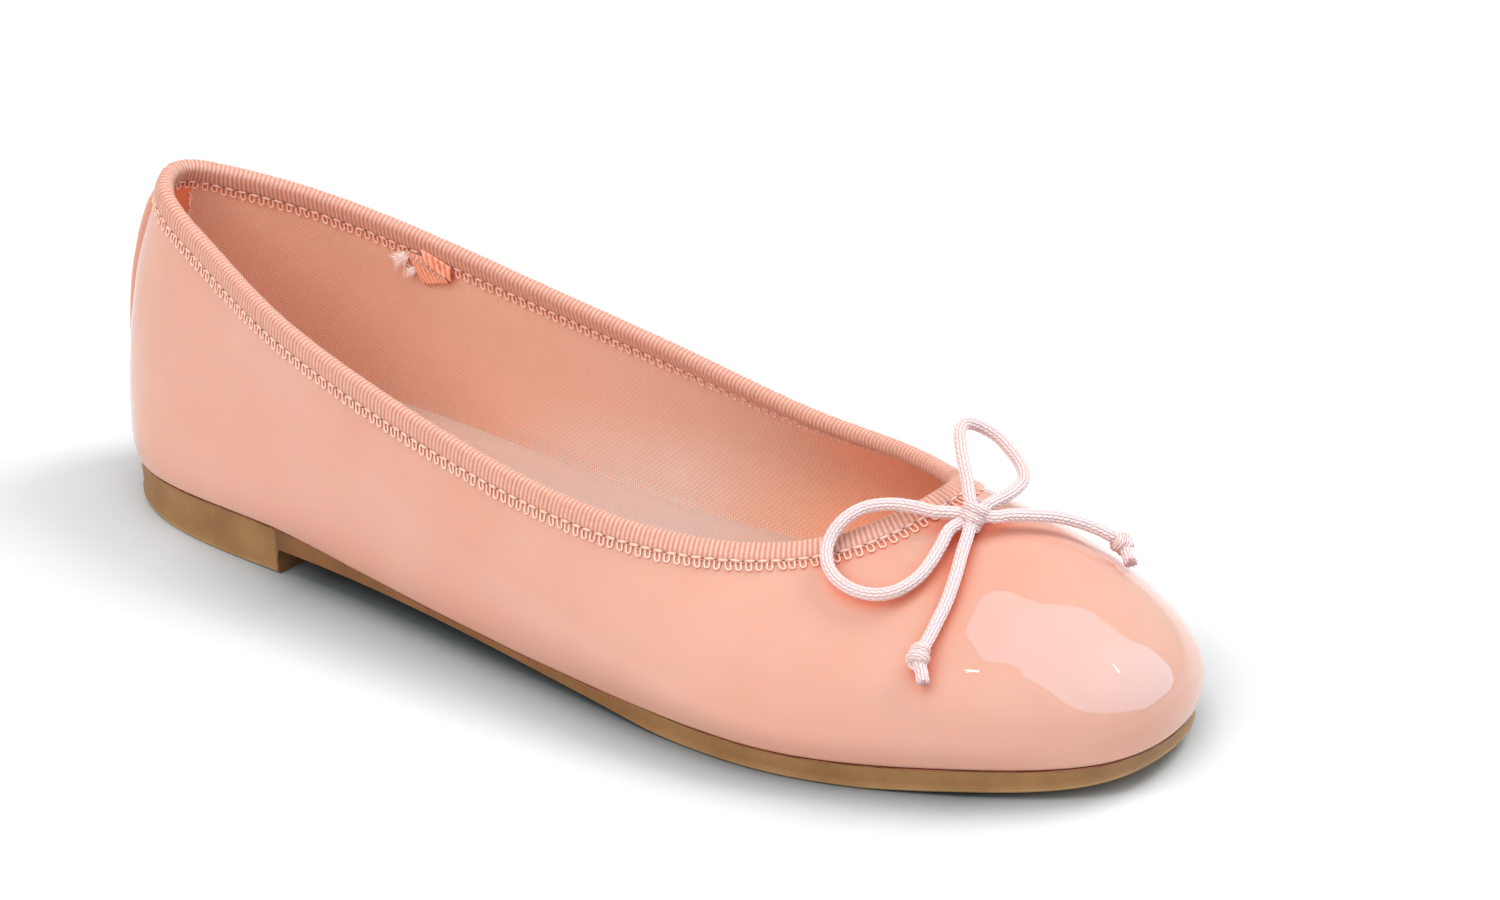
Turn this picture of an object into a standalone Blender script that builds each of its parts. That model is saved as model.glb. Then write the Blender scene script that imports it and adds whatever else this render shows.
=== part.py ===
"""Ballet flat, right shoe, built as a shoemaker assembles it.

Metres, +Z up. The shoe stands on its sole at z = 0 with its toe towards +X, its outer (lateral) side
towards -Y and its inner (medial) side towards +Y. The shape of the last is given by sections taken
every 20 degrees around the shoe, from the back of the heel (0) by either side to the tip of the toe
(180). Every piece is worked out from that one last, so that the pieces nest with an even gap.
"""
import math

import bmesh
import bpy
import numpy as np

MM = 0.001

# Driving dimensions
LENGTH = 248 * MM           # back of the heel seat to the tip of the toe
BALL_WIDTH = 81 * MM        # across the widest part of the seat
HEEL_HEIGHT = 10.6 * MM     # seat above the floor at the heel
COUNTER_HEIGHT = 67.5 * MM  # collar above the floor at the back of the heel
INSTEP_HEIGHT = 44.2 * MM   # collar above the floor at the throat
VAMP_LENGTH = 55 * MM       # throat to toe
COLLAR_SETBACK = 4.4 * MM   # collar ahead of the seat at the back of the heel

UPPER_WALL = 1.5 * MM
GAP = 0.3 * MM              # between pieces that touch
LASTING_MARGIN = 9 * MM     # upper turned under the insole
INSOLE_THICKNESS = 2 * MM
BREAST = 57 * MM            # front face of the heel, from its back
BINDING_DEPTH = 4.8 * MM    # tape below the wall's edge, on each face of the upper
BINDING_THICKNESS = 0.7 * MM
BINDING_CROWN = 0.85 * MM   # tape's fold above the wall's edge, before its own thickness
BINDING_SHOULDER = 0.25 * MM
BACKSTAY_WIDTH = 15 * MM
BACKSTAY_THICKNESS = 0.9 * MM
CORD_DIAMETER = 3 * MM
CORD_POINT_SPACING = 2 * CORD_DIAMETER
KNOT_RADII = (2.8 * MM, 2.8 * MM, 2.4 * MM)
END_KNOT_RADII = (2.4 * MM, 2.4 * MM, 2.4 * MM)

# Mesh fineness
STRANDS = 80                # sections around the shoe
FINE_STEPS = 60             # steps up a strand when lengths along it are measured
BINDING_ROWS = tuple(BINDING_DEPTH * share for share in (1, 2 / 3, 1 / 3))    # down each leg
LOWER_ROWS = 10             # rows of the wall below the binding
CURVE_SAMPLES = 12          # steps between two points of a cord's route
EDGE_TURNS = (0, 45, 90)    # degrees at which a rounded edge has its rows
KNOT_SEGMENTS = 16
KNOT_RINGS = 10
SHARP_ANGLE = 40.0          # degrees between faces that meet at an edge

# Seat and sole. Reaches to either side of the centre line are percent of BALL_WIDTH, heights are
# percent of HEEL_HEIGHT. The arch is the underside of the sole from the heel breast forwards.
SEAT_COLUMNS = ("turn", "lateral", "medial", "seat", "arch")
SEAT_ROWS = (
    (0, 3.6, -3.6, 101, 47),
    (20, 25.6, 16.8, 95, 47),
    (40, 38.0, 31.0, 103, 47),
    (60, 40.6, 33.0, 101, 51),
    (80, 44.6, 34.0, 78, 44),
    (100, 49.7, 40.3, 60, 15),
    (120, 50.8, 50.6, 54, -3),
    (140, 35.1, 45.9, 62, 7),
    (160, 17.5, 31.9, 74, 24),
    (180, -4.0, 4.0, 83, 43),
)

# Collar. Reaches are percent of BALL_WIDTH. A rise of 100 is the counter's height, 0 the instep's.
COLLAR_COLUMNS = ("turn", "lateral", "medial", "lateral_rise", "medial_rise")
COLLAR_ROWS = (
    (0, 0.5, -0.5, 100, 100),
    (20, 12.2, 10.8, 90, 88),
    (40, 18.9, 20.9, 65, 71),
    (60, 28.9, 28.4, 39, 47),
    (80, 33.9, 32.6, 8, 21),
    (100, 35.7, 34.5, -19, -1),
    (120, 33.8, 33.8, -34, -18),
    (140, 24.2, 29.8, -34, -16),
    (160, 9.7, 21.7, -16, -10),
    (180, -9.0, 9.0, 0, 0),
)

# Fullness of the wall between seat and collar: how far it holds the direction in which it leaves
# each end, in percent of INSTEP_HEIGHT, and that direction's lean outwards, in degrees.
WALL_COLUMNS = ("turn", "foot_pull", "foot_lean", "top_pull", "top_lean")
WALL_ROWS = (
    (0, 29, 27, 44, 34),
    (20, 24, 17, 35, 16),
    (40, 22, 19, 30, 12),
    (60, 21, 19, 30, 11),
    (80, 19, 20, 33, 14),
    (100, 21, 24, 41, 25),
    (120, 24, 25, 50, 41),
    (140, 29, 22, 59, 57),
    (160, 33, 19, 67, 63),
    (180, 39, 18, 72, 80),
)

# Turn of the upper under the insole
FEATHER_INSET = 2.0 * MM    # the turn's run inwards
FEATHER_DROP = 1.6 * MM     # the turn's fall
FOOT_RAISE = 0.6 * MM       # foot of the wall above the seat line
MARGIN_LEVEL = FOOT_RAISE - FEATHER_DROP      # underside of the upper from the seat line
SOLE_LEVEL = MARGIN_LEVEL - GAP               # top of the sole from the seat line
INSOLE_LEVEL = MARGIN_LEVEL + UPPER_WALL + GAP
INSOLE_TOP_LEVEL = INSOLE_LEVEL + INSOLE_THICKNESS

# Routes of the bow's cords, in millimetres from the back of the heel seat: (along, medial, up)
KNOT_CENTRE = (204.4, 1.6, 42.8)
LATERAL_LOOP_ROUTE = (
    (200.8, -0.6, 43.1), (197.9, -2.4, 43.2), (194.0, -3.7, 43.6), (190.2, -5.9, 43.8),
    (187.0, -9.2, 43.4), (185.0, -12.9, 41.8), (184.3, -16.4, 39.0), (185.7, -19.4, 36.4),
    (188.9, -21.2, 34.3), (193.3, -21.6, 33.1), (197.6, -20.4, 32.8), (200.9, -17.9, 33.6),
    (202.8, -14.2, 35.2), (203.3, -10.7, 37.1), (203.0, -6.9, 39.2), (202.5, -3.4, 41.0),
)
MEDIAL_LOOP_ROUTE = (
    (202.6, 2.8, 45.6), (200.2, 5.4, 47.4), (197.6, 7.9, 49.0), (194.6, 11.0, 50.8),
    (191.9, 14.6, 51.8), (190.4, 18.4, 51.6), (191.2, 21.8, 50.2), (194.3, 23.4, 48.3),
    (198.4, 22.4, 46.6), (202.6, 19.8, 45.5), (205.4, 16.4, 44.8), (206.4, 12.6, 44.6),
    (206.5, 9.2, 44.5), (206.1, 5.8, 44.4),
)
LATERAL_TAIL_ROUTE = (
    (206.2, -3.0, 40.2), (207.2, -5.9, 38.6), (208.8, -10.1, 36.0), (210.1, -14.7, 32.9),
    (210.8, -19.1, 30.1), (211.2, -22.0, 28.3),
)
MEDIAL_TAIL_ROUTE = (
    (208.2, 3.6, 42.7), (209.6, 6.2, 42.5), (212.3, 10.4, 41.6), (214.6, 14.9, 40.1),
    (217.2, 18.6, 38.3), (219.6, 21.0, 36.7), (221.2, 22.2, 35.6),
)
LATERAL_END_KNOT = (211.8, -25.8, 26.4)
MEDIAL_END_KNOT = (222.9, 24.4, 33.4)


# ---------------------------------------------------------------- the last

def ring_spline(lateral, medial, angles):
    """Smooth closed run of one value around the shoe through its section rows, at angles in degrees."""
    values = np.concatenate([lateral, np.asarray(medial)[-2:0:-1]])
    count = len(values)
    step = 360.0 / count
    system = 4 * np.eye(count) + np.roll(np.eye(count), 1, 0) + np.roll(np.eye(count), -1, 0)
    bends = np.linalg.solve(system, 6 * (np.roll(values, 1) - 2 * values + np.roll(values, -1)))
    place = np.mod(angles, 360.0) / step
    first = np.floor(place).astype(int) % count
    second = (first + 1) % count
    u = place - np.floor(place)
    w = 1 - u
    line = w * values[first] + u * values[second]
    return line + ((w ** 3 - w) * bends[first] + (u ** 3 - u) * bends[second]) / 6


def column(columns, rows, name):
    """One named column of a section table."""
    return np.array([row[columns.index(name)] for row in rows], float)


def around(columns, rows, lateral, medial, unit, angles):
    """A pair of columns as a smooth run around the shoe, in metres or radians."""
    sides = [column(columns, rows, name) * unit for name in (lateral, medial)]
    return ring_spline(sides[0], sides[1], angles)


def along(name, x):
    """A height of the seat table at a distance from the back of the heel."""
    share = np.clip(1 - 2 * np.asarray(x) / LENGTH, -1, 1)
    angles = np.degrees(np.arccos(share))
    return around(SEAT_COLUMNS, SEAT_ROWS, name, name, HEEL_HEIGHT / 100, angles)


def outward(loop):
    """Level outward directions of a closed run that goes round from the heel by the lateral side."""
    run = np.roll(loop, -1, 0) - np.roll(loop, 1, 0)
    normals = np.stack([run[:, 1], -run[:, 0], np.zeros(len(run))], -1)
    return normals / np.linalg.norm(normals, axis=1, keepdims=True)


def side(columns, rows, angles):
    """Side reach around the shoe, negative on the lateral side."""
    lateral = -column(columns, rows, "lateral") * BALL_WIDTH / 100
    medial = column(columns, rows, "medial") * BALL_WIDTH / 100
    return ring_spline(lateral, medial, angles)


def seat_line(angles):
    """The line around the last where upper and sole meet."""
    x = LENGTH / 2 * (1 - np.cos(np.radians(angles)))
    return np.stack([x, side(SEAT_COLUMNS, SEAT_ROWS, angles), along("seat", x)], -1)


def collar_line(angles):
    """The top of the bound collar."""
    throat = LENGTH - VAMP_LENGTH
    x = COLLAR_SETBACK + (throat - COLLAR_SETBACK) / 2 * (1 - np.cos(np.radians(angles)))
    rise = around(COLLAR_COLUMNS, COLLAR_ROWS, "lateral_rise", "medial_rise", 0.01, angles)
    z = INSTEP_HEIGHT + rise * (COUNTER_HEIGHT - INSTEP_HEIGHT)
    return np.stack([x, side(COLLAR_COLUMNS, COLLAR_ROWS, angles), z], -1)


def wall_surface(angles, steps):
    """Outer face of the upper from the foot of its wall to its top edge: points[step, strand]."""
    seat = seat_line(angles)
    collar = collar_line(angles)
    foot_out = outward(seat)
    top_out = outward(collar)
    up = np.array([0.0, 0.0, 1.0])
    foot = seat + FOOT_RAISE * up
    bound_edge = BINDING_THICKNESS + BINDING_CROWN
    top = collar + UPPER_WALL / 2 * top_out - bound_edge * up
    pulls = [around(WALL_COLUMNS, WALL_ROWS, name, name, INSTEP_HEIGHT / 100, angles)[:, None]
             for name in ("foot_pull", "top_pull")]
    leans = [around(WALL_COLUMNS, WALL_ROWS, name, name, math.pi / 180, angles)[:, None]
             for name in ("foot_lean", "top_lean")]
    low = foot + pulls[0] * (np.sin(leans[0]) * foot_out + np.cos(leans[0]) * up)
    high = top + pulls[1] * (np.sin(leans[1]) * top_out - np.cos(leans[1]) * up)
    v = np.linspace(0, 1, steps)[:, None, None]
    w = 1 - v
    return w ** 3 * foot + 3 * w ** 2 * v * low + 3 * w * v ** 2 * high + v ** 3 * top


def surface_normals(points):
    """Outward normals of a surface of closed rows, points[step, strand]."""
    across = np.roll(points, -1, 1) - np.roll(points, 1, 1)
    upwards = np.gradient(points, axis=0)
    normals = np.cross(across, upwards)
    return normals / np.linalg.norm(normals, axis=-1, keepdims=True)


def strand_lengths(points):
    """Length along each strand from its foot to each step."""
    steps = np.linalg.norm(np.diff(points, axis=0), axis=-1)
    return np.concatenate([np.zeros((1, points.shape[1])), np.cumsum(steps, axis=0)])


def at_lengths(points, lengths, wanted):
    """Values of points[step, strand] at wanted[row, strand] lengths up each strand."""
    rows = np.empty((wanted.shape[0], points.shape[1], 3))
    for strand in range(points.shape[1]):
        for axis in range(3):
            rows[:, strand, axis] = np.interp(wanted[:, strand], lengths[:, strand], points[:, strand, axis])
    return rows


def inset(loop, distance, level):
    """A closed run moved inwards in plan, at a level from the seat's height where it then lies."""
    moved = loop - distance * outward(loop)
    moved[:, 2] = along("seat", moved[:, 0]) + level
    return moved


ANGLES = np.arange(STRANDS) * 360.0 / STRANDS
SEAT = seat_line(ANGLES)
FINE_WALL = wall_surface(ANGLES, FINE_STEPS)
FINE_NORMALS = surface_normals(FINE_WALL)
FINE_LENGTHS = strand_lengths(FINE_WALL)


# ---------------------------------------------------------------- making objects

def clear_scene():
    """Remove whatever the file opened with."""
    for old in list(bpy.data.objects):
        bpy.data.objects.remove(old, do_unlink=True)


def collection(name):
    """A new collection in the scene."""
    made = bpy.data.collections.new(name)
    bpy.context.scene.collection.children.link(made)
    return made


def material(name, color, roughness, metallic=0.0):
    """A Principled material."""
    made = bpy.data.materials.new(name)
    made.use_nodes = True
    shader = made.node_tree.nodes["Principled BSDF"]
    shader.inputs["Base Color"].default_value = (*color, 1.0)
    shader.inputs["Roughness"].default_value = roughness
    shader.inputs["Metallic"].default_value = metallic
    made.diffuse_color = (*color, 1.0)
    return made


def add_object(name, mesh, home, finish, smooth=True):
    """An object with its material, in a collection."""
    made = bpy.data.objects.new(name, mesh)
    home.objects.link(made)
    if finish is not None:
        mesh.materials.append(finish)
    if smooth:
        mesh.shade_smooth()
        mesh.set_sharp_from_angle(angle=math.radians(SHARP_ANGLE))
    return made


def mesh_of(bm, name):
    """The mesh of a bmesh whose faces are turned outwards."""
    bmesh.ops.recalc_face_normals(bm, faces=bm.faces)
    mesh = bpy.data.meshes.new(name)
    bm.to_mesh(mesh)
    bm.free()
    return mesh


def add_rings(bm, rings):
    """Vertices of the rings, and the bands of quads between neighbouring rings."""
    verts = [[bm.verts.new(point) for point in ring] for ring in rings]
    for lower, upper in zip(verts, verts[1:]):
        for i in range(len(lower)):
            j = (i + 1) % len(lower)
            bm.faces.new((lower[i], lower[j], upper[j], upper[i]))
    return verts


def close_ring(bm, ring):
    """Close a ring with bars of quads from its lateral side straight across to its medial side."""
    count = len(ring)
    half = count // 2
    bm.faces.new((ring[0], ring[1], ring[count - 1]))
    for i in range(1, half - 1):
        bm.faces.new((ring[i], ring[i + 1], ring[count - i - 1], ring[count - i]))
    bm.faces.new((ring[half - 1], ring[half], ring[half + 1]))


def closed_body(name, rings, home, finish):
    """A closed body lofted through rings, flat from side to side at its first and last ring."""
    bm = bmesh.new()
    verts = add_rings(bm, rings)
    close_ring(bm, verts[0])
    close_ring(bm, verts[-1])
    return add_object(name, mesh_of(bm, name), home, finish)


def open_shell(name, rows, closed, home, finish, thickness, offset):
    """An open loft through rows, thickened by Solidify: offset 1 outwards, -1 inwards."""
    bm = bmesh.new()
    verts = [[bm.verts.new(point) for point in row] for row in rows]
    spans = len(rows[0]) if closed else len(rows[0]) - 1
    for lower, upper in zip(verts, verts[1:]):
        for i in range(spans):
            j = (i + 1) % len(lower)
            bm.faces.new((lower[i], lower[j], upper[j], upper[i]))
    mesh = bpy.data.meshes.new(name)
    bm.to_mesh(mesh)
    bm.free()
    shell = add_object(name, mesh, home, finish)
    wall = shell.modifiers.new("wall", "SOLIDIFY")
    wall.thickness = thickness
    wall.offset = offset
    wall.use_even_offset = True
    return shell


# ---------------------------------------------------------------- outsole

SOLE_INSET = 0.8 * MM
SOLE_TAPER = 0.2 * MM
SOLE_EDGE_ROUND = 0.8 * MM
HEEL_CORNER_ROUND = 1.8 * MM
HEEL_CORNER_END = 50.0      # degrees around, where the heel's round lower corner has run out
BALL_POINT = 186 * MM       # where the ball rests on the floor
BREAST_HOLLOW = 0.8 * MM
CUTTER_HALF_WIDTH = 60 * MM
CUTTER_DEPTH = 3 * MM
ARCH_STEP = 6 * MM


def tread_height(x):
    """Height of the sole's underside before its waist is cut away."""
    spring = np.maximum(along("arch", x), 0.0)
    return np.where(x < BALL_POINT, 0.0, spring)


def arch_cutter(home):
    """What is cut away under the waist: a block with the heel breast and the arch for its top."""
    xs = np.arange(BREAST, BALL_POINT, ARCH_STEP)
    heights = along("arch", xs)
    breast_mid = (BREAST - BREAST_HOLLOW, heights[0] / 2)
    profile = [(BREAST, -CUTTER_DEPTH), (BREAST, 0.0), breast_mid]
    profile += [(x, z) for x, z in zip(xs, heights) if z > -CUTTER_DEPTH]
    profile.append((BALL_POINT, -CUTTER_DEPTH))
    bm = bmesh.new()
    near = [bm.verts.new((x, -CUTTER_HALF_WIDTH, z)) for x, z in profile]
    face = bm.faces.new(near)
    far = bmesh.ops.extrude_face_region(bm, geom=[face])
    moved = [item for item in far["geom"] if isinstance(item, bmesh.types.BMVert)]
    bmesh.ops.translate(bm, verts=moved, vec=(0, 2 * CUTTER_HALF_WIDTH, 0))
    cutter = add_object("arch_cutter", mesh_of(bm, "arch_cutter"), home, None, smooth=False)
    cutter.hide_render = True
    cutter.display_type = "WIRE"
    return cutter


def make_outsole(home, cutters, finish):
    """Unit sole with its low heel, arched waist, flat ball and toe spring."""
    half_turn = np.minimum(ANGLES, 360 - ANGLES)
    fade = np.clip(1 - half_turn / HEEL_CORNER_END, 0, 1)
    corner = SOLE_EDGE_ROUND + (HEEL_CORNER_ROUND - SOLE_EDGE_ROUND) * np.sin(fade * math.pi / 2)
    corner = corner[:, None]
    sideways = outward(SEAT)
    top = inset(SEAT, SOLE_INSET, SOLE_LEVEL)
    base = SEAT - (SOLE_INSET + SOLE_TAPER) * sideways
    rings = [top]
    for turn in EDGE_TURNS:
        lift = corner * (1 - math.sin(math.radians(turn)))
        ring = base - corner * (1 - math.cos(math.radians(turn))) * sideways
        ring[:, 2] = tread_height(ring[:, 0]) + lift[:, 0]
        rings.append(ring)
    sole = closed_body("outsole", rings, home, finish)
    cut = sole.modifiers.new("arch", "BOOLEAN")
    cut.operation = "DIFFERENCE"
    cut.solver = "EXACT"
    cut.object = arch_cutter(cutters)
    return sole


# ---------------------------------------------------------------- upper

def upper_rows():
    """Rows of the upper's outer face from the lasting margin's edge to the collar."""
    rows = [inset(SEAT, LASTING_MARGIN, MARGIN_LEVEL)]
    sideways = outward(SEAT)
    for turn in EDGE_TURNS[:0:-1]:
        run = FEATHER_INSET * (1 - math.cos(math.radians(turn)))
        fall = FEATHER_DROP * math.sin(math.radians(turn))
        row = SEAT - run * sideways
        row[:, 2] = along("seat", row[:, 0]) + FOOT_RAISE - fall
        rows.append(row)
    total = FINE_LENGTHS[-1]
    below = np.linspace(0, 1, LOWER_ROWS)[:, None] * (total - BINDING_ROWS[0])
    bound = [total - depth for depth in BINDING_ROWS[1:]] + [total]
    wanted = np.concatenate([below, bound])
    rows += list(at_lengths(FINE_WALL, FINE_LENGTHS, wanted))
    return rows


def make_upper(home, finish):
    """The hollow upper, open at the collar and, inside its lasting margin, underneath."""
    return open_shell("upper", upper_rows(), True, home, finish, UPPER_WALL, -1)


# ---------------------------------------------------------------- insole

INSOLE_INSET = 2.4 * MM
INSOLE_FOOT_INSET = 2.9 * MM
INSOLE_EDGE_ROUND = 0.5 * MM
PLUG_CLEARANCE = 0.5 * MM
PLUG_INSET = LASTING_MARGIN + PLUG_CLEARANCE


def make_insole(home, finish):
    """Insole resting on the lasting margin, its middle filling down to the sole."""
    rings = [
        inset(SEAT, PLUG_INSET, SOLE_LEVEL + GAP),
        inset(SEAT, PLUG_INSET, INSOLE_LEVEL),
        inset(SEAT, INSOLE_FOOT_INSET, INSOLE_LEVEL),
        inset(SEAT, INSOLE_INSET, INSOLE_TOP_LEVEL - INSOLE_EDGE_ROUND),
        inset(SEAT, INSOLE_INSET + INSOLE_EDGE_ROUND, INSOLE_TOP_LEVEL),
    ]
    return closed_body("insole", rings, home, finish)


# ---------------------------------------------------------------- backstay

BACKSTAY_COLUMNS_ACROSS = 6
BACKSTAY_ROWS_UP = 11
BACKSTAY_SEARCH = 30        # degrees to either side within which its edges lie


def make_backstay(home, finish):
    """Strip up the back of the heel, from the seat to the binding, on the upper's own surface."""
    turns = np.arange(-BACKSTAY_SEARCH, BACKSTAY_SEARCH + 1)
    around_heel = np.concatenate([turns, np.arange(BACKSTAY_SEARCH + 1, 360 - BACKSTAY_SEARCH)])
    wall = wall_surface(around_heel, FINE_STEPS)
    normals = surface_normals(wall)
    lengths = strand_lengths(wall)
    shares = np.linspace(0.0, 1.0, BACKSTAY_ROWS_UP)[:, None]
    wanted = shares * (lengths[-1] - BINDING_DEPTH - 2 * GAP)
    level = at_lengths(wall, lengths, wanted)[:, :len(turns)]
    facing = at_lengths(normals, lengths, wanted)[:, :len(turns)]
    reaches = np.linspace(-BACKSTAY_WIDTH / 2, BACKSTAY_WIDTH / 2, BACKSTAY_COLUMNS_ACROSS)
    rows = []
    for row, normal in zip(level, facing):
        spans = np.linalg.norm(np.diff(row, axis=0), axis=-1)
        run = np.concatenate([[0.0], np.cumsum(spans)])
        run -= run[len(turns) // 2]
        lifted = row + GAP * normal
        rows.append(np.stack([np.interp(reaches, run, lifted[:, axis]) for axis in range(3)], -1))
    return open_shell("backstay", rows, False, home, finish, BACKSTAY_THICKNESS, 1)


# ---------------------------------------------------------------- collar binding

def make_binding(home, finish):
    """Tape folded over the collar's edge, down both faces of the upper."""
    total = FINE_LENGTHS[-1]
    wanted = np.array([total - depth for depth in BINDING_ROWS] + [total])
    outer = at_lengths(FINE_WALL, FINE_LENGTHS, wanted)
    normals = at_lengths(FINE_NORMALS, FINE_LENGTHS, wanted)
    normals /= np.linalg.norm(normals, axis=-1, keepdims=True)
    inner = outer - UPPER_WALL * normals
    up = np.array([0.0, 0.0, 1.0])
    outer_leg = outer + GAP * normals
    inner_leg = inner - GAP * normals
    outer_leg[-1] += BINDING_SHOULDER * up
    inner_leg[-1] += BINDING_SHOULDER * up
    crown = (outer[-1] + inner[-1]) / 2 + BINDING_CROWN * up
    rows = [*outer_leg, crown, *inner_leg[::-1]]
    return open_shell("collar_binding", rows, True, home, finish, BINDING_THICKNESS, 1)


# ---------------------------------------------------------------- bow


def catmull_rom(points, samples):
    """A smooth curve through the points."""
    ends = [2 * points[0] - points[1], *points, 2 * points[-1] - points[-2]]
    curve = []
    for before, start, end, after in zip(ends, ends[1:], ends[2:], ends[3:]):
        for u in np.arange(samples) / samples:
            curve.append(0.5 * (2 * start + (end - before) * u
                                + (2 * before - 5 * start + 4 * end - after) * u ** 2
                                + (3 * start - before - 3 * end + after) * u ** 3))
    curve.append(points[-1])
    return np.array(curve)


def evenly_spaced(curve, spacing):
    """Points along a curve at an even spacing close to the one wanted."""
    steps = np.linalg.norm(np.diff(curve, axis=0), axis=-1)
    run = np.concatenate([[0.0], np.cumsum(steps)])
    count = max(2, round(run[-1] / spacing) + 1)
    places = np.linspace(0, run[-1], count)
    return np.stack([np.interp(places, run, curve[:, axis]) for axis in range(3)], -1)


def make_cord(name, route, home, finish):
    """A round cord along a route given in millimetres."""
    smooth = catmull_rom([np.array(point) * MM for point in route], CURVE_SAMPLES)
    points = evenly_spaced(smooth, CORD_POINT_SPACING)
    data = bpy.data.curves.new(name, "CURVE")
    data.dimensions = "3D"
    data.bevel_depth = CORD_DIAMETER / 2
    data.bevel_resolution = 2
    data.use_fill_caps = True
    spline = data.splines.new("POLY")
    spline.points.add(len(points) - 1)
    for place, point in zip(spline.points, points):
        place.co = (*point, 1.0)
    data.materials.append(finish)
    cord = bpy.data.objects.new(name, data)
    home.objects.link(cord)
    return cord


def make_knot(name, centre, radii, home, finish):
    """A rounded knot."""
    bm = bmesh.new()
    bmesh.ops.create_uvsphere(bm, u_segments=KNOT_SEGMENTS, v_segments=KNOT_RINGS, radius=1.0)
    bmesh.ops.scale(bm, vec=radii, verts=bm.verts)
    knot = add_object(name, mesh_of(bm, name), home, finish)
    knot.location = [value * MM for value in centre]
    return knot


def make_bow(home, finish):
    """The drawstring's bow on the throat: knot, two loops, and two tails ending in knots."""
    return [
        make_knot("bow_knot", KNOT_CENTRE, KNOT_RADII, home, finish),
        make_cord("bow_loop_lateral", LATERAL_LOOP_ROUTE, home, finish),
        make_cord("bow_loop_medial", MEDIAL_LOOP_ROUTE, home, finish),
        make_cord("bow_tail_lateral", LATERAL_TAIL_ROUTE, home, finish),
        make_cord("bow_tail_medial", MEDIAL_TAIL_ROUTE, home, finish),
        make_knot("tail_knot_lateral", LATERAL_END_KNOT, END_KNOT_RADII, home, finish),
        make_knot("tail_knot_medial", MEDIAL_END_KNOT, END_KNOT_RADII, home, finish),
    ]


# ---------------------------------------------------------------- assembly

def centre_on_origin(pieces, everything, home):
    """Hang every piece on an empty that brings the shoe's box, without its bow, over the origin."""
    graph = bpy.context.evaluated_depsgraph_get()
    corners = []
    for piece in pieces:
        evaluated = piece.evaluated_get(graph)
        corners += [evaluated.matrix_world @ vertex.co for vertex in evaluated.data.vertices]
    cloud = np.array(corners)
    low = cloud.min(0)
    high = cloud.max(0)
    root = bpy.data.objects.new("ballet_flat", None)
    home.objects.link(root)
    root.location = (-(low[0] + high[0]) / 2, -(low[1] + high[1]) / 2, -low[2])
    for piece in everything:
        piece.parent = root


def build():
    """Model the shoe."""
    clear_scene()
    shoe = collection("ballet_flat")
    cutters = collection("cutters")
    patent = material("patent_leather", (0.88, 0.40, 0.27), 0.12)
    rubber = material("sole_rubber", (0.30, 0.17, 0.07), 0.6)
    lining = material("insole_cloth", (0.82, 0.42, 0.28), 0.8)
    tape = material("binding_tape", (0.86, 0.44, 0.32), 0.6)
    satin = material("bow_cord", (0.93, 0.66, 0.58), 0.45)
    main = [
        make_outsole(shoe, cutters, rubber),
        make_upper(shoe, patent),
        make_insole(shoe, lining),
        make_backstay(shoe, patent),
        make_binding(shoe, tape),
    ]
    bow = make_bow(shoe, satin)
    bpy.context.view_layer.update()
    cutter_objects = list(cutters.objects)
    centre_on_origin(main, main + bow + cutter_objects, shoe)


build()
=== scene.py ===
"""Looks of the ballet flat: leather, tape, cloth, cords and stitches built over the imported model.

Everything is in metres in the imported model's frame: the toe towards +X, the shoe's inner side towards
+Y, the floor at z = 0. The last's sections are those of the part's own source, so that each piece
here lies where its solid is, with the detail that the solid leaves out.
"""

import math

import bmesh
import bpy
import numpy as np
from mathutils import Matrix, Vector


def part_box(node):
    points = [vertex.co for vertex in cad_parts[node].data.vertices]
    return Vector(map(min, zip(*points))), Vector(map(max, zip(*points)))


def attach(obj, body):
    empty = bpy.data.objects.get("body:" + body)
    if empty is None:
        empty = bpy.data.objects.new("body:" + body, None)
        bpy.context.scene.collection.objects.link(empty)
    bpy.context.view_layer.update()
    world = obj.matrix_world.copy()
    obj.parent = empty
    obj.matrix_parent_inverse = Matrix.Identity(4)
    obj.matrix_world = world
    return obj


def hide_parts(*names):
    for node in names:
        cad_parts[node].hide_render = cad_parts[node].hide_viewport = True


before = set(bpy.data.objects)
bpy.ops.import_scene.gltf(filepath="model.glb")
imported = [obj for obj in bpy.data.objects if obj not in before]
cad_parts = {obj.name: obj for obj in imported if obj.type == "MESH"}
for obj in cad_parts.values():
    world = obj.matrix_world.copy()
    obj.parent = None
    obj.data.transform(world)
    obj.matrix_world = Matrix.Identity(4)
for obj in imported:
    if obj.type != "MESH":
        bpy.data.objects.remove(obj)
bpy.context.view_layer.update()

MM = 0.001

# Driving dimensions, as in the part's source
LENGTH = 248 * MM
BALL_WIDTH = 81 * MM
HEEL_HEIGHT = 10.6 * MM
COUNTER_HEIGHT = 67.5 * MM
INSTEP_HEIGHT = 44.2 * MM
VAMP_LENGTH = 55 * MM
COLLAR_SETBACK = 4.4 * MM
UPPER_WALL = 1.5 * MM
GAP = 0.3 * MM
LASTING_MARGIN = 9 * MM
INSOLE_THICKNESS = 2 * MM
BREAST = 57 * MM
BINDING_THICKNESS = 0.7 * MM
BINDING_CROWN = 0.85 * MM
BACKSTAY_WIDTH = 15 * MM
BACKSTAY_THICKNESS = 0.9 * MM

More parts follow.
